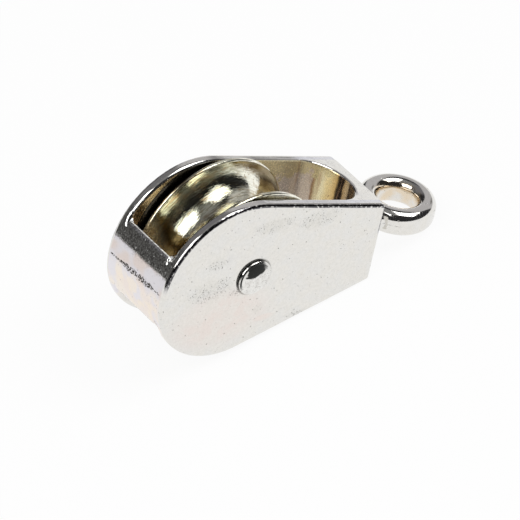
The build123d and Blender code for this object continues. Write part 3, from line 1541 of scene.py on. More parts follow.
@dataclass(frozen=True)
class PocketStainShadeAndReflection:
    """Brown stains on the walls of the pocket, with painted reflections, painted shade and a painted shadow.

    The walls carry upright bands, partly brown stain and partly painted reflections: the black
    bands and the bright cream bands stand in for reflections. A band's place is the angle about
    the centre of the pocket's round end, and past that arc the length along the side wall counts
    on. Low down the walls are clean. Behind the sheave they are painted darker as shade, and
    within the sheave's reach nearly black as a painted shadow of the sheave.

    Attributes:
        bands: Colours of the bands, by their place as a share of the full turn; the black and the bright
            cream ones are painted reflections.
        golden: Colour of the top of the far wall.
        slung_reach: How far from the axle the painted shadow of the sheave reaches.
    """

    sizes: CastingSizes
    effects: Effects
    bands: Stops = (
        (0.00, (0.90, 0.86, 0.78)),
        (0.38, (0.80, 0.74, 0.64)),
        (0.42, (0.10, 0.06, 0.035)),
        (0.47, (0.05, 0.03, 0.018)),
        (0.485, (0.66, 0.52, 0.32)),
        (0.506, (0.58, 0.42, 0.22)),
        (0.516, (0.03, 0.017, 0.01)),
        (0.542, (0.035, 0.02, 0.01)),
        (0.556, (0.72, 0.50, 0.22)),
        (0.59, (0.90, 0.72, 0.38)),
        (0.62, (0.97, 0.88, 0.62)),
        (0.645, (0.94, 0.82, 0.55)),
        (0.655, (0.36, 0.20, 0.09)),
        (0.668, (0.80, 0.70, 0.62)),
        (0.75, (0.88, 0.80, 0.75)),
        (1.00, (0.88, 0.80, 0.75)),
    )
    golden: Colour = (0.80, 0.70, 0.42)
    streak: Colour = (0.48, 0.30, 0.19)
    shaded: Colour = (0.50, 0.38, 0.24)
    # Colour of the painted shadow of the sheave on the walls behind it.
    slung: Colour = (0.045, 0.040, 0.036)
    slung_reach: float = 20.6
    clean_below: float = -9.0
    stained_above: float = -5.5
    chalk: float = 0.4

    def band_place(self, sheet: BlockSheet, ahead: Socket, past: Socket) -> Socket:
        """Gives the place along the bands, as a share of the full turn, with a slow wander.

        Args:
            sheet: The material's sheet.
            ahead: Place ahead of the centre of the pocket's round end.
            past: The same, and zero along the straight walls.

        Returns:
            The share, 0.5 in the middle of the round end.
        """
        along = sheet.times(sheet.math("MINIMUM", ahead, 0.0), -1 / self.sizes.pocket_half)
        angle = sheet.math("ARCTAN2", sheet.side, past)
        way = sheet.times(sheet.plus(angle, along), sheet.math("SIGN", sheet.y))
        wander = sheet.noise(sheet.join(sheet.u, sheet.y, sheet.times(sheet.w, 0.35)), 0.8)
        wander = sheet.times(sheet.less(wander, 0.5), 0.12)
        return sheet.times_plus(sheet.plus(way, wander), 1 / (2 * math.pi), 0.5)

    def draw(self, sheet: BlockSheet) -> tuple[Socket, Socket, Socket]:
        """Draws the walls' stains, painted reflections, painted shade and painted shadow.

        Args:
            sheet: The material's sheet.

        Returns:
            The mask of the walls, their colour, and how chalky the stain makes them.
        """
        size = self.sizes
        ahead = sheet.less(sheet.u, size.pocket_arc)
        past = sheet.greatest(ahead, 0.0)
        reach = sheet.length(past, sheet.y)
        inside = sheet.rise(reach, size.pocket_half + 0.2, size.pocket_half + 0.28, 1.0, 0.0)
        past_bridge = sheet.rise(sheet.u, size.pocket_back - 0.3, size.pocket_back - 0.2)
        stained = sheet.rise(sheet.w, self.clean_below, self.stained_above)
        mask = sheet.times(inside, past_bridge, stained)

        share = self.band_place(sheet, ahead, past)
        blotch = sheet.effect(self.effects.patches, sheet.place, Scale=0.55)
        high = sheet.rise(sheet.times_plus(blotch, 3.0, sheet.w), 9.5, 11.0)
        high = sheet.times(high, sheet.rise(share, 0.55, 0.58))
        upright = sheet.join(sheet.times(sheet.u, 1.6), sheet.times(sheet.y, 1.6), sheet.times(sheet.w, 0.16))
        streaks = sheet.rise(sheet.noise(upright, 0.7, detail=3.0), 0.56, 0.70)
        # Painted shade on the walls behind the sheave, and a painted shadow of the sheave within its reach.
        behind = sheet.rise(sheet.u, 3.0, -4.0)
        slung = sheet.times(behind, sheet.rise(sheet.from_axle, self.slung_reach + 0.3, self.slung_reach))
        colour = sheet.coats(
            sheet.ramp(share, self.bands),
            (sheet.times(high, 0.85), self.golden),
            (sheet.times(streaks, 0.5), self.streak),
            (behind, self.shaded),
            (slung, self.slung),
        )
        return mask, colour, sheet.times(mask, sheet.less(1.0, behind), self.chalk)


@dataclass(frozen=True)
class BridgeTint:
    """Tints of the bridge's face: a painted dark reflection of the room on top, mottled, with a painted glint
    line under it, and cloudy pink and blue below.
    """

    upper: Colour = (0.70, 0.62, 0.585)
    lower: Colour = (0.84, 0.755, 0.70)
    upper_cloud: Colour = (0.69, 0.685, 0.73)
    lower_cloud: Colour = (0.76, 0.75, 0.80)
    cream: Colour = (0.90, 0.80, 0.67)
    # Colour of a painted glint: a thin pale line just under the painted dark reflection on top.
    glint: Colour = (0.92, 0.90, 0.86)
    # The top of the bridge is a painted dark reflection of the room, mottled between these two colours, with
    # a sharp lower line at rubbed_above.
    rubbed_dark: Colour = (0.32, 0.31, 0.30)
    rubbed_light: Colour = (0.92, 0.92, 0.90)
    rubbed_above: float = 4.9

    def draw(self, sheet: BlockSheet) -> tuple[Socket, Socket]:
        """Draws the tints.

        Args:
            sheet: The material's sheet.

        Returns:
            The mask of the bridge's face and its colour.
        """
        front = sheet.times(sheet.rise(sheet.u, -19.5, -21.0), sheet.rise(sheet.side, 9.4, 8.9))
        wide = sheet.rise(sheet.noise(sheet.place, 0.20, detail=1.0), 0.42, 0.60)
        small = sheet.rise(sheet.noise(sheet.place, 0.31, detail=1.0), 0.45, 0.62)
        low = sheet.rise(sheet.w, 1.5, -2.0)
        # Painted highlight: a thin pale line just under the painted dark reflection.
        glint = sheet.rise(sheet.gap(sheet.w, self.rubbed_above - 0.18), 0.15, 0.07)
        tint = sheet.coats(
            sheet.mix(low, self.upper, self.lower),
            (sheet.times(wide, 0.8), sheet.mix(low, self.upper_cloud, self.lower_cloud)),
            (sheet.times(small, low, 0.7), self.cream),
            (glint, self.glint),
        )
        # Painted dark reflection of the room over the top of the bridge, mottled, with a sharp lower line.
        rubbed = sheet.rise(sheet.noise(sheet.place, 2.4, detail=4.0, roughness=0.75), 0.40, 0.60)
        top = sheet.mix(rubbed, self.rubbed_dark, self.rubbed_light)
        below = sheet.rise(sheet.w, self.rubbed_above + 0.1, self.rubbed_above - 0.1)
        return front, sheet.mix(below, top, tint)


@dataclass(frozen=True)
class GrimeAndShadeLines:
    """Dirt along the line of the mould halves, and painted shade in a ring round the rivet's heads.

    The line crosses the bridge at a slant and wanders. Patches break it up.
    """

    form: CastingForm
    wander: float = 0.5
    middle: float = -0.8
    thin: float = 0.26
    thick: float = 0.95
    head_share: float = 0.55

    def draw(self, sheet: BlockSheet) -> Socket:
        """Draws the dirt and the painted shade.

        Args:
            sheet: The material's sheet.

        Returns:
            The mask of both.
        """
        line = sheet.times_plus(sheet.y, -self.form.flash_slant, self.form.flash_rise)
        stray = sheet.less(sheet.noise(sheet.place, 0.8, detail=1.0), 0.5)
        off = sheet.gap(sheet.w, sheet.times_plus(stray, self.wander, line))
        half = sheet.rise(sheet.gap(sheet.y, self.middle), 7.5, 2.0, self.thin, self.thick)
        half = sheet.times(half, sheet.rise(sheet.noise(sheet.place, 0.9), 0.35, 0.6, 0.5, 1.1))
        near = sheet.rise(sheet.math("DIVIDE", off, half), 0.6, 1.0, 1.0, 0.0)
        blotch = sheet.rise(sheet.noise(sheet.place, 2.6, detail=3.0), 0.45, 0.51)
        ends = sheet.rise(sheet.side, self.form.flash_half, self.form.flash_half - 0.5)
        on_bridge = sheet.times(sheet.rise(sheet.u, -21.0, -22.0), ends)
        # Painted shade: a dark ring on the cheek round the foot of each rivet head.
        ring = sheet.times(sheet.rise(sheet.from_axle, 4.75, 4.25), sheet.rise(sheet.side, 9.9, 10.0))
        return sheet.greatest(sheet.times(near, blotch, on_bridge), sheet.times(ring, self.head_share))


@dataclass(frozen=True)
class RimFilmAndReflection:
    """A grey coat on the narrow skins beside the pocket, painted darker on the far side as a dark reflection,
    and a painted dark reflection along the outer edge of the cheeks.

    The edge is painted dark on top only, and broken in places.
    """

    near: Colour = (0.54, 0.53, 0.55)
    # Painted darker than the near side: a dark reflection.
    far: Colour = (0.26, 0.25, 0.24)
    end: Colour = (0.66, 0.66, 0.71)
    # Colour of the painted dark reflection along the cheeks' outer edge.
    edge: Colour = (0.10, 0.098, 0.105)

    def draw(self, sheet: BlockSheet) -> tuple[Socket, Socket]:
        """Draws the grey coat and the painted dark edge.

        Args:
            sheet: The material's sheet.

        Returns:
            Their mask and their colour.
        """
        skin = sheet.times(sheet.rise(sheet.side, 7.9, 8.1), sheet.rise(sheet.side, 9.3, 9.0))
        straight = sheet.times(sheet.rise(sheet.u, -4.0, 0.0), sheet.rise(sheet.u, 33.5, 33.2))
        grain = sheet.stretched(sheet.place, (0.0, 0.0, 0.0), (9.0, 0.5, 9.0))
        streak = sheet.rise(sheet.noise(grain, 1.0, detail=3.0), 0.35, 0.6, 0.5, 1.0)
        # Painted dark reflection along the top of the cheeks' outer round, broken in places.
        edge = sheet.times(sheet.rise(sheet.side, 9.52, 9.60), sheet.rise(sheet.side, 10.085, 10.06))
        worn = sheet.rise(sheet.noise(sheet.place, 1.6, detail=3.0), 0.36, 0.46, 0.2, 1.0)
        edge = sheet.times(edge, sheet.rise(sheet.w, 1.0, 4.0), worn)
        colour = sheet.coats(
            self.near,
            (sheet.math("GREATER_THAN", sheet.y, 0.0), self.far),
            (sheet.rise(sheet.u, 20.0, 25.0), self.end),
            (edge, self.edge),
        )
        return sheet.greatest(sheet.times(skin, straight, streak), edge), colour


@dataclass(frozen=True)
class NickelPlate:
    """Bright nickel plate of the casting, with its pits, stains and dirt, and painted shade, painted
    reflections and a painted glint line.
    """

    attitude: Attitude
    sizes: CastingSizes
    effects: Effects
    bright: Colour = (0.80, 0.78, 0.74)
    dull: Colour = (0.70, 0.685, 0.64)
    cool: Colour = (0.77, 0.775, 0.775)
    rubbed: Colour = (0.52, 0.51, 0.48)
    warm: Colour = (0.82, 0.70, 0.64)
    eye_brown: Colour = (0.78, 0.66, 0.50)
    pit: Colour = (0.20, 0.19, 0.17)
    # Colour of the dirt along the parting line and of the painted shade round the rivet's heads.
    grime: Colour = (0.035, 0.028, 0.022)
    # Colour of the painted glint line on the bridge's pocket rim.
    worn: Colour = (0.96, 0.96, 0.95)
    pitted: tuple[Cloud, ...] = (
        Cloud(-11.5, -0.8, 7.5, 3.6),
        Cloud(-11.0, 6.0, 3.0, 2.0),
        Cloud(3.0, 12.4, 6.5, 2.2),
        Cloud(15.0, 11.0, 7.0, 2.6),
        Cloud(3.2, -9.2, 1.6, 1.6),
        Cloud(15.0, -13.6, 4.5, 1.0),
        Cloud(-4.0, -3.0, 3.0, 1.5),
    )
    stained: tuple[Cloud, ...] = (
        Cloud(-4.5, -13.0, 9.0, 2.0),
        Cloud(5.0, -12.0, 4.0, 1.2),
        Cloud(-7.0, -9.0, 16.0, 9.0),
    )
    scratch_depth: float = 0.0015
    pit_depth: float = 0.05
    grime_depth: float = 0.03
    step_depth: float = 0.07

    def clouded(self, sheet: BlockSheet, clouds: tuple[Cloud, ...]) -> Socket:
        """Draws a row of patches as one mask."""
        return sheet.greatest(*[cloud.mask(sheet, sheet.u, sheet.w) for cloud in clouds])

    def eye_stain(self, sheet: BlockSheet) -> Socket:
        """Draws the soft brownish stain inside the eye."""
        from_eye = sheet.length(sheet.less(sheet.u, self.sizes.eye_reach), sheet.y)
        inner = sheet.rise(from_eye, self.sizes.eye_mean_radius - 0.9, 4.9)
        return sheet.times(inner, sheet.rise(sheet.noise(sheet.place, 0.35), 0.38, 0.6, 0.1, 0.9))

    def rim_wear(self, sheet: BlockSheet) -> Socket:
        """Draws a painted highlight: a thin pale line on the bridge's pocket rim, broken in places."""
        off = sheet.gap(sheet.u, self.sizes.pocket_back - 0.50)
        line = sheet.times(sheet.rise(off, 0.24, 0.15), sheet.rise(sheet.w, 7.7, 8.0))
        breaks = sheet.rise(sheet.noise(sheet.place, 1.1), 0.36, 0.44, 0.35, 1.0)
        return sheet.times(line, sheet.rise(sheet.side, 7.7, 7.4), breaks)

    def bridge_step(self, sheet: BlockSheet) -> Socket:
        """Gives how deep the bridge's core mark is: a shallow step that fades down the bridge."""
        fade = sheet.times(sheet.rise(sheet.w, 7.4, 9.4), sheet.rise(sheet.u, -20.9, -21.3))
        return sheet.times(fade, sheet.rise(sheet.side, 7.75, 7.5))

    def plate(self, sheet: BlockSheet, tone: Socket, clouds: Socket) -> Socket:
        """Draws the colour of the plate itself: flecks, cooler clouds, mottled and warm places.

        Args:
            sheet: The material's sheet.
            tone: Slow clouds over the whole casting.
            clouds: Where the pitted patches are.

        Returns:
            The colour.
        """
        fleck = sheet.effect(self.effects.patches, sheet.place, Scale=1.3)
        dim = sheet.times_plus(fleck, 0.45, sheet.times(clouds, 0.35))
        rubbed = sheet.rise(sheet.noise(sheet.place, 1.9, detail=4.0, roughness=0.7), 0.50, 0.62)
        warm = sheet.rise(tone, 0.0, 1.0, 0.4, 1.0)
        return sheet.coats(
            self.bright,
            (dim, self.dull),
            (sheet.times(tone, 0.35), self.cool),
            (sheet.times(rubbed, clouds, 0.35), self.rubbed),
            (sheet.times(self.clouded(sheet, self.stained), warm, 0.55), self.warm),
        )

    def build(self) -> Material:
        """Makes the material.

        Returns:
            The finish of the casting.
        """
        material = new_material("bright_nickel")
        sheet = BlockSheet(material.node_tree, self.attitude)
        effects = self.effects

        tone = sheet.effect(effects.patches, sheet.place, Scale=0.32)
        frost = sheet.rise(sheet.noise(sheet.place, 2.8, detail=3.0, roughness=0.7), 0.50, 0.66)
        clouds = self.clouded(sheet, self.pitted)
        share = sheet.times_plus(sheet.times(clouds, tone), 0.6, 0.014)
        pits = sheet.effect(effects.pits, sheet.place, Scale=2.1, Share=share)
        specks = sheet.effect(effects.pits, sheet.place, Scale=3.4, Share=share)
        pits = sheet.greatest(pits, sheet.times(specks, 0.8))
        scratches = sheet.effect(effects.scratches, sheet.place, Amount=1.0)
        # The grey coat beside the pocket, with a painted dark reflection on its far side and along the
        # cheeks' outer edge.
        film, film_and_painted_dark_colour = RimFilmAndReflection().draw(sheet)
        # The bridge's tints, with a painted dark reflection and a painted glint on top.
        face, tint = BridgeTint().draw(sheet)
        # The pocket's stains, with painted reflections, painted shade behind the sheave and a painted shadow
        # of it.
        walls, stain, chalky = PocketStainShadeAndReflection(self.sizes, effects).draw(sheet)
        # Dirt along the parting line, and painted shade round the rivet's heads.
        grime = GrimeAndShadeLines(CastingForm(self.sizes)).draw(sheet)
        # A painted glint line on the bridge's pocket rim.
        glint_line = self.rim_wear(sheet)

        colour = sheet.coats(
            self.plate(sheet, tone, clouds),
            (self.eye_stain(sheet), self.eye_brown),
            (film, film_and_painted_dark_colour),
            (face, tint),
            (sheet.times(scratches, 0.25), self.dull),
            (sheet.times(pits, 0.6), self.pit),
            (walls, stain),
            (grime, self.grime),
            (glint_line, self.worn),
        )
        # Less metal under the dirt and painted shade, on the chalky walls and on the painted glint line,
        # which the lamps then light pale.
        metallic = sheet.less(sheet.times_plus(grime, -0.6, 1.0), chalky, sheet.times(glint_line, 0.75))
        rough = sheet.plus(
            sheet.times_plus(tone, 0.03, 0.05),
            sheet.times(frost, 0.16),
            sheet.times(scratches, 0.08),
            sheet.times(walls, 0.14),
            sheet.times(sheet.greatest(pits, grime), 0.3),
        )
        skin = sheet.effect(effects.skin, sheet.place, Waves=0.022, Grain=0.003)
        height = sheet.layers(
            skin,
            (scratches, -self.scratch_depth),
            (pits, -self.pit_depth),
            (grime, -self.grime_depth),
            (self.bridge_step(sheet), -self.step_depth),
        )
        sheet.end_in_metal(colour, metallic, rough, height)
        return material


@dataclass(frozen=True)
class TurnedBrass:
    """Pale brass of the sheave with a high polish, the fine lines of the lathe and some tarnish, with painted
    shade in the groove, a painted reflection on one side and painted glints on the caked dirt.
    """

    effects: Effects
    bright: Colour = (0.84, 0.83, 0.69)
    dull: Colour = (0.44, 0.42, 0.30)
    # Colour of a painted pale reflection on one side of the wheel.
    polished: Colour = (0.97, 0.96, 0.87)
    # Colour of the painted shade over the far side of the groove.
    film: Colour = (0.27, 0.285, 0.20)
    tarnish: Colour = (0.40, 0.28, 0.13)
    caked: Colour = (0.60, 0.43, 0.18)
    dirt: Colour = (0.10, 0.06, 0.025)
    # Colour of painted glints on the caked dirt.
    crumb: Colour = (0.92, 0.78, 0.46)
    line_height: float = 0.042
    ring_height: float = 0.020
    dirt_height: float = 0.17
    scratch_depth: float = 0.003

    def lathe_lines(self, sheet: NodeSheet, place: Socket, slow: float, quick: float) -> Socket:
        """Draws lines round the axle: a noise that runs slowly round it and quickly across it.

        Args:
            sheet: The material's sheet.
            place: Coordinates in millimetres.
            slow: Rate of change round the axle.
            quick: Rate of change across the lines.

        Returns:
            The strength of the lines.
        """
        x, y, z = sheet.split(place)
        reach = sheet.length(x, z)
        across = sheet.plus(y, sheet.times(reach, 0.8))
        vector = sheet.join(
            sheet.times(sheet.math("DIVIDE", x, reach), slow),
            sheet.times(across, quick),
            sheet.times(sheet.math("DIVIDE", z, reach), slow),
        )
        return sheet.noise(vector, 1.0, detail=3.0, roughness=0.65)

    def build(self) -> Material:
        """Makes the material.

        Returns:
            The finish of the sheave.
        """
        material = new_material("polished_brass")
        sheet = NodeSheet(material.node_tree)
        coordinates = sheet.put("ShaderNodeTexCoord").outputs["Object"]
        place = sheet.put("ShaderNodeMapping", Vector=coordinates, Scale=(1 / MM,) * 3).outputs["Vector"]
        x, y, z = sheet.split(place)

        fine = self.lathe_lines(sheet, place, 7.0, 2.6)
        broad = self.lathe_lines(sheet, place, 4.0, 1.0)
        patches = sheet.effect(self.effects.patches, place, Scale=0.28)
        scratches = sheet.effect(self.effects.scratches, place, Amount=0.8)
        specks = sheet.effect(self.effects.pits, place, Scale=2.0, Share=0.10)
        streaks = sheet.times(sheet.rise(broad, 0.42, 0.62), patches)
        # Painted shade over the far side of the groove, fading out towards one side of the wheel.
        groove_shade = sheet.times(sheet.rise(y, 1.5, 3.5), sheet.rise(y, 6.3, 5.9), sheet.rise(x, 9.0, 3.0), 0.65)
        crumbs = sheet.noise(place, 1.9, detail=3.0, roughness=0.75)
        caked = sheet.times(sheet.rise(x, -11.5, -15.5), sheet.rise(z, 14.5, 11.0))
        dirt = sheet.times(caked, sheet.rise(crumbs, 0.49, 0.53))
        # Painted glints on the caked dirt.
        light = sheet.times(caked, sheet.rise(crumbs, 0.44, 0.38))
        dulled = sheet.times(caked, sheet.rise(crumbs, 0.38, 0.46, 0.25, 0.55))

        colour = sheet.coats(
            self.bright,
            (sheet.rise(fine, 0.46, 0.60, 0.0, 0.75), self.dull),
            (groove_shade, self.film),
            (sheet.rise(x, 7.0, 11.0, 0.0, 0.75), self.polished),
            (sheet.times(streaks, 0.7), self.tarnish),
            (sheet.times(specks, 0.6), self.tarnish),
            (sheet.times(caked, 0.6), self.caked),
            (sheet.times(dirt, 0.85), self.dirt),
            (light, self.crumb),
        )
        rough = sheet.plus(
            sheet.times(dulled, 0.3),
            sheet.rise(broad, 0.35, 0.65, 0.035, 0.08),
            sheet.times(streaks, 0.06),
            sheet.times(scratches, 0.1),
        )
        skin = sheet.effect(self.effects.skin, place, Waves=0.02, Grain=0.006)
        height = sheet.layers(
            skin,
            (fine, self.line_height),
            (broad, self.ring_height),
            (sheet.times(caked, crumbs), self.dirt_height),
            (scratches, -self.scratch_depth),
        )
        sheet.end_in_metal(colour, sheet.less(1.0, dulled), rough, height)
        return material


@dataclass(frozen=True)
class PlatedRivet:
    """Nickel plate of the rivet, with small pits, a painted dark reflection on the near head and painted
    shade round the heads' feet.
    """

    attitude: Attitude
    effects: Effects
    bright: Colour = (0.82, 0.81, 0.78)
    dull: Colour = (0.60, 0.58, 0.55)
    pit: Colour = (0.22, 0.21, 0.20)
    # Colour of the painted dark reflection and the painted shade.
    dark: Colour = (0.03, 0.031, 0.029)
    scratch_depth: float = 0.002
    pit_depth: float = 0.03

    def bruise(self, sheet: BlockSheet) -> Socket:
        """Draws a painted dark reflection: the part of the near head above a slanted line, up to its edge.

        Its rim wanders.

        Args:
            sheet: The material's sheet.

        Returns:
            The mask of the painted reflection.
        """
        u, _, w = sheet.split(sheet.wobbled(sheet.place, 1.3, 1.5))
        slant = sheet.greatest(sheet.times_plus(u, 0.50, 1.0), 0.55)
        above = sheet.rise(sheet.less(w, slant), -0.1, 0.3)
        inside = sheet.rise(sheet.from_axle, 3.85, 3.65)
        fade = sheet.rise(u, 3.4, 1.4)
        start = sheet.rise(u, -2.9, -2.5)
        near_side = sheet.math("LESS_THAN", sheet.y, -10.5)
        return sheet.times(above, inside, fade, start, near_side)

    def collar(self, sheet: BlockSheet) -> Socket:
        """Draws painted shade round the foot of each head, stronger on its upper side, and a thin painted
        dark reflection line below its upper edge.

        Args:
            sheet: The material's sheet.

        Returns:
            The mask of both.
        """
        foot = sheet.rise(sheet.side, 10.60, 10.42)
        upper = sheet.rise(sheet.less(sheet.w, sheet.u), 0.5, 3.0)
        line = sheet.times(sheet.rise(sheet.gap(sheet.side, 10.86), 0.09, 0.05), upper)
        return sheet.greatest(sheet.times(foot, sheet.rise(upper, 0.0, 1.0, 0.3, 1.0)), line)

    def build(self) -> Material:
        """Makes the material.

        Returns:
            The finish of the rivet.
        """
        material = new_material("rivet_nickel")
        sheet = BlockSheet(material.node_tree, self.attitude)
        effects = self.effects
        tone = sheet.effect(effects.patches, sheet.place, Scale=0.8)
        pits = sheet.effect(effects.pits, sheet.place, Scale=2.6, Share=0.45)
        scratches = sheet.effect(effects.scratches, sheet.place, Amount=1.0)
        # Painted dark reflection on the near head, and painted shade round the heads' feet.
        dark = sheet.greatest(self.bruise(sheet), self.collar(sheet))
        colour = sheet.coats(
            self.bright,
            (sheet.times(tone, 0.5), self.dull),
            (sheet.times(pits, 0.6), self.pit),
            (dark, self.dark),
        )
        rough = sheet.plus(
            sheet.times_plus(tone, 0.06, 0.08),
            sheet.times(scratches, 0.1),
            sheet.times(dark, 0.22),
        )
        skin = sheet.effect(effects.skin, sheet.place, Waves=0.03, Grain=0.003)
        height = sheet.layers(skin, (pits, -self.pit_depth), (scratches, -self.scratch_depth))
        sheet.end_in_metal(colour, 1.0, rough, height)
        return material


# Studio

def towards(azimuth: float, elevation: float) -> Vector:
    """Gives a direction from its azimuth and elevation in degrees; azimuth 0 is along -y, 90 along +x."""
    turn, rise = math.radians(azimuth), math.radians(elevation)
    level = math.cos(rise)
    return Vector((math.sin(turn) * level, -math.cos(turn) * level, math.sin(rise)))


@dataclass(frozen=True)
class Lamp:
    """A soft rectangular lamp that faces the block.

    Angles are in degrees, as seen from the block, and lengths in metres. A brightness of 1
    is plain white.
    """

    name: str
    azimuth: float
    elevation: float
    size: tuple[float, float]
    brightness: float
    distance: float = 0.9

    def build(self, aim: Vector) -> None:
        """Adds the lamp.

        Args:
            aim: The point that the lamp faces.
        """
        back = towards(self.azimuth, self.elevation)
        light = bpy.data.lights.new(self.name, "AREA")
        light.shape = "RECTANGLE"
        light.size, light.size_y = self.size
        light.energy = self.brightness * math.pi * self.size[0] * self.size[1]
        lamp = bpy.data.objects.new(self.name, light)
        lamp.location = aim + back * self.distance
        lamp.rotation_euler = (-back).to_track_quat("-Z", "Y").to_euler()
        bpy.context.scene.collection.objects.link(lamp)


@dataclass(frozen=True)
class WallPatch:
    """A part of the surrounding room that is lighter or darker than the rest.

    Angles are in degrees. The rim of the patch is soft.
    """

    azimuth: float
    half_width: float
    low: float
    high: float
    shade: Colour
    soft: float = 8.0

    def mask(self, sheet: NodeSheet, heading: Socket, height: Socket) -> Socket:
        """Draws the patch.

        Args:
            sheet: The world's sheet.
            heading: Level direction of the ray, of length one.
            height: Elevation of the ray in degrees.

        Returns:
            1 inside the patch and 0 outside.
        """
        middle, half = tuple(towards(self.azimuth, 0)), self.soft / 2
        facing = sheet.operate("ShaderNodeVectorMath", "DOT_PRODUCT", heading, middle)
        outer = math.cos(math.radians(min(self.half_width + half, 180)))
        inner = math.cos(math.radians(max(self.half_width - half, 0)))
        level = sheet.rise(facing.outputs["Value"], outer, inner) if self.half_width < 180 else 1.0
        above = sheet.rise(height, self.low - half, self.low + half)
        below = sheet.rise(height, self.high + half, self.high - half)
        return sheet.times(above, below, level)


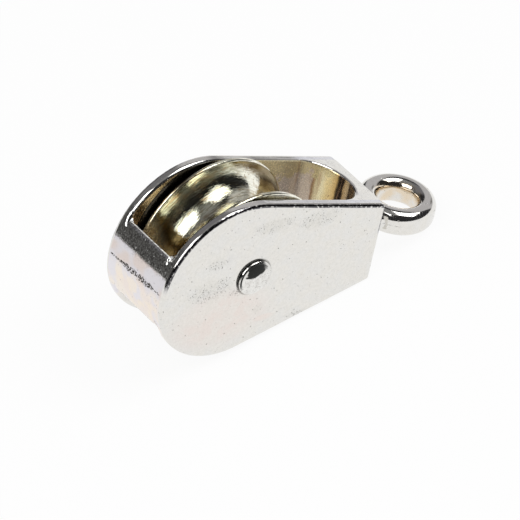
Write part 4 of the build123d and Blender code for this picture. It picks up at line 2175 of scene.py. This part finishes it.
@dataclass
class Studio:
    """White table, a dim room round it, two soft lamps and the camera.

    The table's sizes are in metres. The camera's place, aim and focal length are in
    millimetres, and its roll about the line of sight in degrees.

    Attributes:
        table_glow: Share of the table's white that doesn't depend on the lamps.
        room: Colour of the walls.
        patches: Lighter and darker parts of the walls and the ceiling.
    """

    floor_height: float
    camera_place: Triple = (-562.357, -868.775, 1005.467)
    camera_aim: Triple = (5.011, -5.355, -1.768)
    camera_roll: float = 3.89
    lens: float = 470.77
    floor_side: float = 3.0
    table_glow: float = 0.93
    room: Colour = (0.028, 0.028, 0.030)
    patches: tuple[WallPatch, ...] = (
        WallPatch(0, 180, 62, 100, (0.22, 0.22, 0.22), soft=16),
        WallPatch(-140, 34, -6, 34, (0.105, 0.103, 0.10), soft=10),
        WallPatch(-132, 20, 30, 64, (0.13, 0.13, 0.135), soft=14),
        WallPatch(180, 36, 30, 64, (0.18, 0.175, 0.185), soft=14),
        WallPatch(120, 33, -20, 42, (0.52, 0.51, 0.52), soft=8),
        WallPatch(109, 5, 3, 13, (0.22, 0.21, 0.20), soft=6),
    )
    lamps: tuple[Lamp, ...] = (
        Lamp("lamp_left", azimuth=-76, elevation=49, size=(0.72, 0.72), brightness=3.4),
        Lamp("lamp_right", azimuth=60, elevation=54, size=(0.56, 0.60), brightness=4.0),
    )

    def floor_material(self) -> Material:
        """Makes the table's white, which the camera and the metal see as plain white."""
        material = new_material("white_table")
        sheet = NodeSheet(material.node_tree)
        path = sheet.put("ShaderNodeLightPath")
        rays = [path.outputs[name] for name in ("Is Camera Ray", "Is Glossy Ray", "Is Transmission Ray")]
        lit = sheet.put("ShaderNodeBsdfDiffuse", Color=opaque((0.9, 0.9, 0.9)))
        plain = sheet.put("ShaderNodeEmission", Color=opaque((1.0, 1.0, 1.0)), Strength=1.0)
        share = sheet.times(sheet.greatest(*rays), self.table_glow)
        both = sheet.put("ShaderNodeMixShader", Fac=share)
        sheet.feed(both.inputs[1], lit.outputs["BSDF"])
        sheet.feed(both.inputs[2], plain.outputs["Emission"])
        sheet.put("ShaderNodeOutputMaterial", Surface=both.outputs["Shader"])
        return material

    def build_floor(self) -> None:
        """Adds the table."""
        half = self.floor_side / 2
        corners = [(-half, -half), (half, -half), (half, half), (-half, half)]
        points = np.array([(x, y, self.floor_height) for x, y in corners])
        table = mesh_object("table", points, [[0, 1, 2, 3]])
        table.data.materials.append(self.floor_material())

    def build_world(self) -> None:
        """Makes the room: dim walls with lighter patches, and a grey ceiling."""
        world = bpy.data.worlds.new("surroundings")
        world.use_nodes = True
        sheet = NodeSheet(world.node_tree)
        direction = sheet.put("ShaderNodeTexCoord").outputs["Generated"]
        x, y, z = sheet.split(direction)
        level = sheet.operate("ShaderNodeVectorMath", "NORMALIZE", sheet.join(x, y, 0.0))
        height = sheet.times(sheet.math("ARCSINE", z), 180 / math.pi)
        heading = level.outputs["Vector"]
        walls = [(patch.mask(sheet, heading, height), patch.shade) for patch in self.patches]
        light = sheet.put("ShaderNodeBackground", Color=sheet.coats(self.room, *walls), Strength=1.0)
        sheet.put("ShaderNodeOutputWorld", Surface=light.outputs["Background"])
        bpy.context.scene.world = world

    def build_camera(self) -> None:
        """Adds the camera at the photograph's angle."""
        place = Vector(self.camera_place) * MM
        aim = Vector(self.camera_aim) * MM
        forward = (aim - place).normalized()
        right = forward.cross(Vector((0, 0, 1))).normalized()
        up = right.cross(forward)
        roll = math.radians(self.camera_roll)
        rolled_up = up * math.cos(roll) + right * math.sin(roll)
        rolled_right = forward.cross(rolled_up)
        data = bpy.data.cameras.new("camera")
        data.sensor_width = 36.0
        data.lens = self.lens
        data.clip_start, data.clip_end = 0.05, 20.0
        camera = bpy.data.objects.new("camera", data)
        axes = Matrix((rolled_right, rolled_up, -forward)).transposed()
        camera.matrix_world = Matrix.Translation(place) @ axes.to_4x4()
        bpy.context.scene.collection.objects.link(camera)
        bpy.context.scene.camera = camera

    def build(self) -> None:
        """Builds the whole studio."""
        self.build_floor()
        self.build_world()
        for lamp in self.lamps:
            lamp.build(Vector((0, 0, 0)))
        self.build_camera()
        bpy.context.scene.view_settings.view_transform = "Standard"


# Assembly

def span(node: str) -> tuple[Vector, Vector]:
    """Gives a frame node's lowest and highest corner in millimetres."""
    low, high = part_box(node)
    return Vector(low) / MM, Vector(high) / MM


def dress(piece: Object, node: str, body: str, material: Material) -> None:
    """Puts a finished piece in the place of a frame node.

    Args:
        piece: The finished piece.
        node: The node that it stands for.
        body: The body that it rides on.
        material: Its finish.
    """
    piece.data.materials.append(material)
    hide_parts(node)
    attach(piece, body)
    log.info("%s stands for %s on %s, %d faces", piece.name, node, body, len(piece.data.polygons))


def main() -> None:
    """Builds the block, its finishes and the studio."""
    logging.basicConfig(level=logging.INFO, format="%(message)s")
    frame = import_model()
    attitude = Attitude.from_record(frame["record"])
    wheel_low, wheel_high = span("sheave")
    axle_low, axle_high = span("axle_rivet")
    sizes = CastingSizes()
    effects = Effects.build()

    casting = FrameCasting(attitude, sizes).build()
    dress(casting, "frame", "block", NickelPlate(attitude, sizes, effects).build())
    sheave = Sheave(wheel_high.x - wheel_low.x, wheel_high.y - wheel_low.y).build()
    dress(sheave, "sheave", "sheave", TurnedBrass(effects).build())
    rivet = AxleRivet(axle_high.y - axle_low.y, axle_high.x - axle_low.x).build()
    dress(rivet, "axle_rivet", "block", PlatedRivet(attitude, effects).build())
    Studio(floor_height=wheel_low.z * MM).build()


if __name__ == "__main__":
    main()
